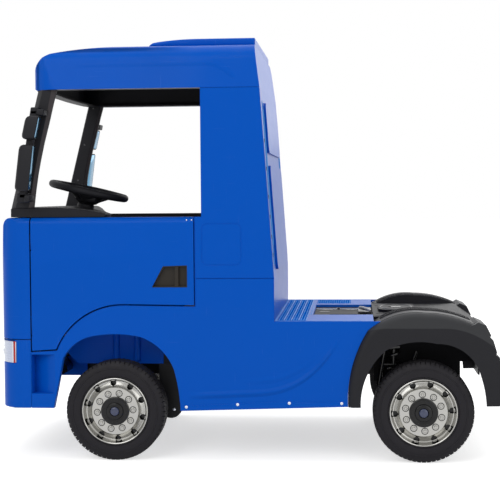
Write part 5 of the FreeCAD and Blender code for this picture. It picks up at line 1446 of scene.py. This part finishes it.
@dataclass
class ArchGear(Assembly):
    """What shows inside the wheel arches: springs, rods, and the tub's aprons and gussets.

    Rods are (foot and head as (x, z), radius). Screws are (x, z).
    """

    coil_x: float = 0.372
    coil_y: float = 0.234
    coil_foot: float = 0.178
    coil_head: float = 0.276
    coil_radius: float = 0.0145
    wire: float = 0.0034
    rod_y: float = 0.236
    gusset: Pair = (0.131, 0.2)

    RODS = ((((0.372, 0.17), (0.372, 0.29)), 0.006), (((0.334, 0.178), (0.352, 0.288)), 0.0065),
            (((0.398, 0.17), (0.43, 0.266)), 0.0042), (((0.3385, 0.232), (0.402, 0.232)), 0.005))
    GUSSET_OUTLINE = ((-0.506, 0.236), (-0.508, 0.189), (-0.500, 0.193), (-0.4795, 0.2045),
                      (-0.4795, 0.2185), (-0.494, 0.236))
    SCREWS, HEAD = ((-0.504, 0.196), (-0.4985, 0.226)), ((0.1995, 0.003), (0.2012, 0.003), (0.202, 0.0015))
    PERCH = ((0.356, 0.388), (0.22, 0.248), (0.271, 0.283))
    APRON = ((-0.5355, -0.44), (0.1288, 0.1306), (0.186, 0.2375))

    def build(self) -> None:
        """Builds the gear on both sides."""
        gear, aprons = Form(), Form()
        r = self.coil_radius
        for side in (-1, 1):
            coil = [Vector((self.coil_x + r * math.cos(a), side * self.coil_y + r * math.sin(a),
                            self.coil_foot + r * a / math.pi)) for a in (math.pi * k / 9 for k in range(118))]
            gear.tube([p for p in coil if p.z < self.coil_head], self.wire, 8)
            for ends, radius in self.RODS:
                gear.tube([Vector((x, side * self.rod_y, z)) for x, z in ends], radius, 12)
            gear.block(*self.PERCH, 0.003, 2, side)
            aprons.block(*self.APRON, 0.0006, side=side)
            gear.loft([[Vector((x, side * y, z)) for x, z in self.GUSSET_OUTLINE] for y in self.gusset])
            for centre in self.SCREWS:
                gear.lathe([(side * y, r) for y, r in self.HEAD], 12, False, centre)
        self.piece("arch_gear", gear, GLOSS_BLACK)
        # Aprons in the lighter blue: painted light inside the shaded arches.
        self.piece("arch_aprons", aprons, BLUE_INNER_LIT)


@dataclass
class LampTrim(Assembly):
    """Bright edges and reflector bowls of the headlamps."""

    bowls: Pair = (0.232, 0.268)
    edge: float = 0.0022
    inset: float = 0.001

    PROFILE = ((0.001, 0.0165), (-0.0008, 0.0165), (-0.0012, 0.0155), (-0.0004, 0.0120),
               (-0.0009, 0.0070), (-0.0006, 0.0035), (0.001, 0.0035))

    def build(self) -> None:
        """Builds the trim of both headlamps."""
        low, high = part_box("headlamps")
        front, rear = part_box("side_markers")
        edges, bowls = Form(), Form()
        middle = (low.z + high.z) / 2
        for side in (-1, 1):
            for xs in ((rear.x - 0.0004, rear.x + self.edge), (front.x - self.edge, front.x + 0.0003)):
                edges.block(xs, (rear.y - 0.003, rear.y + 0.0005),
                            (low.z + self.inset, high.z - self.inset), 0.0004, side=side)
            for y in self.bowls:
                hit = self.surface("headlamps", Vector((-0.8, side * y, middle)), Vector((1, 0, 0)))
                if hit is None:
                    LOG.warning("no lamp surface at %s", y)
                    continue
                bowls.join(Form().lathe(self.PROFILE, 32),
                           Matrix.Translation(hit) @ Matrix.Rotation(math.radians(-90), 4, "Z"))
        self.piece("headlamp_edges", edges, SCREW_STEEL)
        self.piece("headlamp_bowls", bowls, BOWL)


@dataclass
class RearWall(Assembly):
    """Upright lines and slots of the cab's rear wall; the slots are black blocks on the wall's surface as
    painted shade, and the lines a paler blue as painted highlight.

    Lines are (distance from the middle plane, foot, head).
    """

    behind: float = 0.3
    line_radius: float = 0.0016
    line_steps: int = 24
    slot_y: float = 0.305

    LINES = ((0.286, 0.49, 0.9), (0.262, 0.54, 0.88))
    SLOTS, SLOT_HALF = (0.515, 0.56, 0.61, 0.66, 0.73, 0.8), (0.001, 0.0035, 0.005)

    def build(self) -> None:
        """Builds the details over the wall's own surface."""
        lines, slots = Form(), Form()
        for side in (-1, 1):
            for y, foot, head in self.LINES:
                heights = [foot + (head - foot) * k / self.line_steps for k in range(self.line_steps + 1)]
                lines.tube([self._wall(side * y, z) for z in heights], self.line_radius, 6)
            for z in self.SLOTS:
                middle = self._wall(side * self.slot_y, z)
                slots.block(*((at - half, at + half) for at, half in zip(middle, self.SLOT_HALF)), 0.0006)
        # The lines are a paler blue: painted highlight.
        self.piece("rear_wall_lines", lines, BLUE_HIGHLIGHT)
        # Slots as black blocks: painted shade.
        self.piece("rear_wall_slots", slots, CAP_BLACK)

    def _wall(self, y: float, z: float) -> Vector:
        """Wall's surface at a place."""
        return self.surface("cab_rear", Vector((self.behind, y, z)), Vector((-1, 0, 0)))


@dataclass
class DoorTrim(Assembly):
    """Black seal on a door's sill, its studs, and the body's rebates behind the door's gaps, in a lighter
    blue that paints light into the gaps' shade.

    The seal's and the lip's sides are measured from the door's inner face, the seal's heights from the
    door's top, and the rebate's front and rear from the door's rear edge.
    """

    side: str
    face: float = 0.335
    stud: float = 0.0016
    seal_ends: float = 0.004
    seal_sides: Pair = (-0.0005, 0.003)
    seal_heights: Pair = (-0.013, 0.0006)

    STUDS = ((-0.142, 0.604), (-0.1295, 0.604))
    REBATE = ((0.0016, 0.0042), (0.3165, 0.3315), (0.3875, 0.611))
    LIP = ((-0.340, -0.296), (-0.0125, -0.0015), (0.384, 0.3985))

    def build(self) -> None:
        """Builds the trim of one door."""
        sign = SIDES[self.side]
        name, body = "door_" + self.side, "door_body_" + self.side
        low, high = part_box(name)
        inner = min(abs(low.y), abs(high.y))
        seal, rebate, studs = Form(), Form(), Form()
        seal.block((low.x + self.seal_ends, high.x - self.seal_ends), [inner + y for y in self.seal_sides],
                   [high.z + z for z in self.seal_heights], 0.0005, side=sign)
        self.piece(name + "_seal", seal, BLACK, body)
        for centre in self.STUDS:
            studs.lathe([(sign * (self.face - 0.0008), self.stud), (sign * (self.face + 0.0004), self.stud),
                         (sign * (self.face + 0.0007), self.stud * 0.4)], 12, False, centre)
        self.piece(name + "_studs", studs, SCREW_STEEL, body)
        gap, ys, zs = self.REBATE
        rebate.block([high.x + x for x in gap], ys, zs, 0.0004, side=sign)
        xs, insets, zs = self.LIP
        rebate.block(xs, [inner + y for y in insets], zs, 0.0004, side=sign)
        self.piece(name + "_rebate", rebate, BLUE_INNER_LIT)


@dataclass
class CrownRibs(Assembly):
    """Fine ribs along the inner half of a rear mudguard's crown.

    Arcs are shares of the mudguard's length and height: start, a place between, end.
    """

    side: str
    count: int = 9
    inner: float = 0.209
    outer: float = 0.264
    rib: float = 0.0024
    height: float = 0.0012
    root: float = 0.0008
    arc_steps: int = 24

    ARCS = (((0.131, 0.812), (0.291, 0.962), (0.508, 1.0)), ((0.508, 1.0), (0.682, 0.966), (0.826, 0.885)))

    def build(self) -> None:
        """Builds the ribs over the mudguard."""
        run = self._run()
        outs = []
        for k in range(len(run)):
            ahead = Vector(run[min(k + 1, len(run) - 1)]) - Vector(run[max(k - 1, 0)])
            out = Vector((-ahead.y, 0, ahead.x)).normalized()
            outs.append(out if out.z >= 0 else -out)
        half = Vector((0, self.rib / 2, 0))
        form = Form()
        for i in range(self.count):
            middle = SIDES[self.side] * (self.inner + (self.outer - self.inner) * i / (self.count - 1))
            rings = []
            for (x, z), out in zip(run, outs):
                foot = Vector((x, middle, z))
                root, top = foot - out * self.root, foot + out * self.height
                rings.append([root - half, root + half, top + half * 0.6, top - half * 0.6])
            form.loft(rings)
        self.piece(f"mudguard_{self.side}_ribs", form, BLACK)

    def _run(self) -> list[Pair]:
        """Crown's outline, from shares of the mudguard's box.

        Returns:
            Points (x, z) from front to rear.
        """
        low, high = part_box("mudguard_" + self.side)
        front, rear = ([(low.x + a * (high.x - low.x), low.z + b * (high.z - low.z)) for a, b in arc]
                       for arc in self.ARCS)
        return arc_points(*front, self.arc_steps)[6:] + arc_points(*rear, self.arc_steps)[1:-1]


@dataclass
class Fasteners(Assembly):
    """Screws that hold the mouldings together."""

    radius: float = 0.0038
    bracket_x: float = 0.039
    bracket_z: float = 0.023

    SKIRT = ((-0.147, 0.136), (-0.018, 0.143), (0.111, 0.147), (0.241, 0.147))
    HEAD = ((-0.001, 1.0), (0.0006, 1.0), (0.0014, 0.75), (0.0017, 0.3))

    def build(self) -> None:
        """Builds the screws on both sides."""
        heads = Form()
        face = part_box("lower_side_right")[1].y
        low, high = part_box("brackets")
        places = [(centre, face) for centre in self.SKIRT]
        places.append(((low.x + self.bracket_x, low.z + self.bracket_z), high.y))
        for centre, y in places:
            for side in (-1, 1):
                heads.lathe([(side * (y + rise), self.radius * share) for rise, share in self.HEAD], 16,
                            False, centre)
        self.piece("skirt_screws", heads, SCREW_STEEL)


@dataclass
class Mouldings(Assembly):
    """CAD nodes that show as they are, with softened edges and their finishes."""

    edge_angle: float = 28.0
    weld: float = 1e-5
    face_weight: int = 80

    PLAIN = {
        BLUE: {"front_panel": 0.003, "bumper": 0.003, "lower_side_left": 0.0018,
               "lower_side_right": 0.0018, "door_left": 0.0025, "door_right": 0.0025,
               "cab_side_left": 0.0015, "cab_side_right": 0.0015, "cab_rear": 0.002,
               "roof_shell": 0.002, "roof_fairing": 0.008},
        BLUE_DECK: {"deck": 0.0006},
        # The tub takes the lighter blue: painted light inside the arches.
        BLUE_INNER_LIT: {"tub": 0.002},
        BLACK: {"grille": 0.001, "intake": 0.001, "battery_tray": 0.001},
        GUARD_BLACK: {"mudguard_left": 0.001, "mudguard_right": 0.001},
        PLATE_BLACK: {"slide_plate": 0.0006, "tail_cover": 0.002, "coupling_plate": 0.001},
        CHARCOAL: {"roof_liner": 0.001, "pedal": 0.002},
        GLOSS_BLACK: {"gearboxes": 0.002},
        TRAY_BROWN: {"door_handle_left": 0.0006, "door_handle_right": 0.0006},
        CLEAR_LENS: {"headlamps": 0.001},
        RED_LENS: {"side_markers": 0.0005, "tail_lamps": 0.002},
        FRAME_STEEL: {"chassis": 0.0008, "cross_members": 0.0006, "outriggers": 0.0006,
                      "brackets": 0.0008, "front_axle": 0.001},
        BARE_STEEL: {"knuckle_left": 0.0005, "knuckle_right": 0.0005, "tie_rod": 0.0005,
                     "rear_axle": 0.0005},
        CASE_GREY: {"battery": 0.003},
    }

    def build(self) -> None:
        """Dresses every node that stays."""
        for finish, nodes in self.PLAIN.items():
            for node, edge in nodes.items():
                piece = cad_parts[node]
                piece.data.materials.clear()
                piece.data.materials.append(self.palette.material(finish))
                self._soften(piece, edge)
                LOG.info("%s: %s", node, finish.name)

    def _soften(self, piece: bpy.types.Object, edge: float) -> None:
        """Softens one node's edges.

        Args:
            piece: The node's object.
            edge: Width of its softened edges.
        """
        mesh = piece.data
        if "custom_normal" in mesh.attributes:
            mesh.attributes.remove(mesh.attributes["custom_normal"])
        mesh.shade_smooth()
        for name, kind, values in (
                ("weld", "WELD", {"merge_threshold": self.weld}),
                ("soften", "BEVEL", {"width": edge, "segments": 2, "limit_method": "ANGLE",
                                     "angle_limit": math.radians(self.edge_angle),
                                     "use_clamp_overlap": True, "miter_outer": "MITER_ARC"}),
                ("level", "WEIGHTED_NORMAL", {"weight": self.face_weight, "keep_sharp": False})):
            modifier = piece.modifiers.new(name, kind)
            for key, value in values.items():
                setattr(modifier, key, value)


@dataclass
class Studio:
    """Pale floor, soft lamps, white surround and the camera at the photograph's place.

    Lamps are (place, size in metres, power in watts).
    """

    place: Vector = Vector((0.27509, -3.49192, 0.66354))
    yaw: float = 4.6947
    pitch: float = 2.4373
    roll: float = -0.4407
    lens: float = 92.06
    sensor: float = 36.0
    clip_end: float = 200.0
    aim: Vector = Vector((0.0, 0.0, 0.5))
    floor_half: float = 30.0
    floor_tone: float = 0.8
    floor_glow: float = 0.6
    fill: float = 0.55

    LAMPS = {"key": ((-1.8, -3.6, 3.0), 3.0, 62.0), "side": ((2.6, -3.4, 1.6), 2.6, 30.0),
             "top": ((0.2, 0.4, 3.6), 3.2, 40.0), "back": ((1.5, 3.4, 2.2), 2.6, 26.0)}
    SHOWN_TO = ("Is Camera Ray", "Is Glossy Ray", "Is Transmission Ray")

    def build(self) -> None:
        """Sets the whole studio up."""
        self._world()
        self._floor()
        self._lamps()
        self._camera()
        bpy.context.scene.view_settings.view_transform = "Standard"

    def _seen(self, sheet: NodeSheet) -> Socket:
        """1 for rays that show the surround: camera, glossy and transmission rays."""
        path = sheet.add("ShaderNodeLightPath").outputs
        return sheet.chain("MAXIMUM", *(path[kind] for kind in self.SHOWN_TO))

    @staticmethod
    def _placed(name: str, data: bpy.types.ID) -> bpy.types.Object:
        """New object in the scene.

        Args:
            name: Its name.
            data: Its mesh, light or camera.

        Returns:
            The object.
        """
        made = bpy.data.objects.new(name, data)
        bpy.context.scene.collection.objects.link(made)
        return made

    def _world(self) -> None:
        """White surround that fills the shadows softly."""
        world = bpy.data.worlds.new("studio")
        world.use_nodes = True
        bpy.context.scene.world = world
        sheet = NodeSheet(world.node_tree)
        shine = next(node for node in sheet.tree.nodes if node.type == "BACKGROUND")
        sheet.feed(shine.inputs["Color"], (1.0, 1.0, 1.0, 1.0))
        sheet.feed(shine.inputs["Strength"],
                   sheet.maths("MULTIPLY_ADD", self._seen(sheet), 1.0 - self.fill, self.fill))

    def _floor(self) -> None:
        """Near-white floor that runs out to the surround and keeps the toy's shadow."""
        mesh = bpy.data.meshes.new("floor")
        corners = [(x * self.floor_half, y * self.floor_half, 0)
                   for x, y in ((-1, -1), (1, -1), (1, 1), (-1, 1))]
        mesh.from_pydata(corners, [], [(0, 1, 2, 3)])
        material = bpy.data.materials.new("pale_floor")
        material.use_nodes = True
        sheet = NodeSheet(material.node_tree)
        sheet.tree.nodes.clear()
        matt = sheet.add("ShaderNodeBsdfDiffuse", {"Color": (*[self.floor_tone] * 3, 1.0)})
        glow = sheet.add("ShaderNodeEmission",
                         {"Strength": sheet.maths("MULTIPLY", self._seen(sheet), self.floor_glow)})
        both = sheet.add("ShaderNodeAddShader", {0: matt.outputs[0], 1: glow.outputs[0]})
        sheet.add("ShaderNodeOutputMaterial", {"Surface": both.outputs[0]})
        mesh.materials.append(material)
        self._placed("floor", mesh)

    def _lamps(self) -> None:
        """Large soft lamps over the camera's shoulders, above the toy and behind it."""
        for name, (place, size, power) in self.LAMPS.items():
            light = bpy.data.lights.new(name, "AREA")
            light.size = size
            light.energy = power
            lamp = self._placed(name, light)
            lamp.location = place
            lamp.rotation_euler = (self.aim - Vector(place)).to_track_quat("-Z", "Y").to_euler()

    def _camera(self) -> None:
        """Camera at the photograph's place and angle."""
        yaw, pitch, roll = (math.radians(a) for a in (self.yaw, self.pitch, self.roll))
        ahead = Vector((-math.sin(yaw) * math.cos(pitch), math.cos(yaw) * math.cos(pitch),
                        -math.sin(pitch)))
        level = ahead.cross(Vector((0, 0, 1))).normalized()
        upward = level.cross(ahead)
        right = level * math.cos(roll) + upward * math.sin(roll)
        up = upward * math.cos(roll) - level * math.sin(roll)
        data = bpy.data.cameras.new("camera")
        data.lens = self.lens
        data.sensor_width = self.sensor
        data.clip_end = self.clip_end
        camera = self._placed("camera", data)
        turn = Matrix((right, up, -ahead)).transposed().to_4x4()
        camera.matrix_world = Matrix.Translation(self.place) @ turn
        bpy.context.scene.camera = camera


def main() -> None:
    """Builds the toy's pieces in order and reports them."""
    logging.basicConfig(level=logging.INFO, format="%(name)s %(message)s")
    palette = Palette()
    Mouldings(palette).build()
    for corner in ("front_left", "front_right", "rear_left", "rear_right"):
        Wheel(palette, corner).build()
    SteeringWheel(palette).build()
    for side in SIDES:
        MirrorSet(palette, side).build()
        CrownRibs(palette, side).build()
    for kind in (Pillars, Dashboard, Seat, DeckPattern, Coupling, ArchGear, LampTrim, RearWall):
        kind(palette).build()
    for side in SIDES:
        DoorTrim(palette, side).build()
    Fasteners(palette).build()
    Studio().build()


if __name__ == "__main__":
    main()
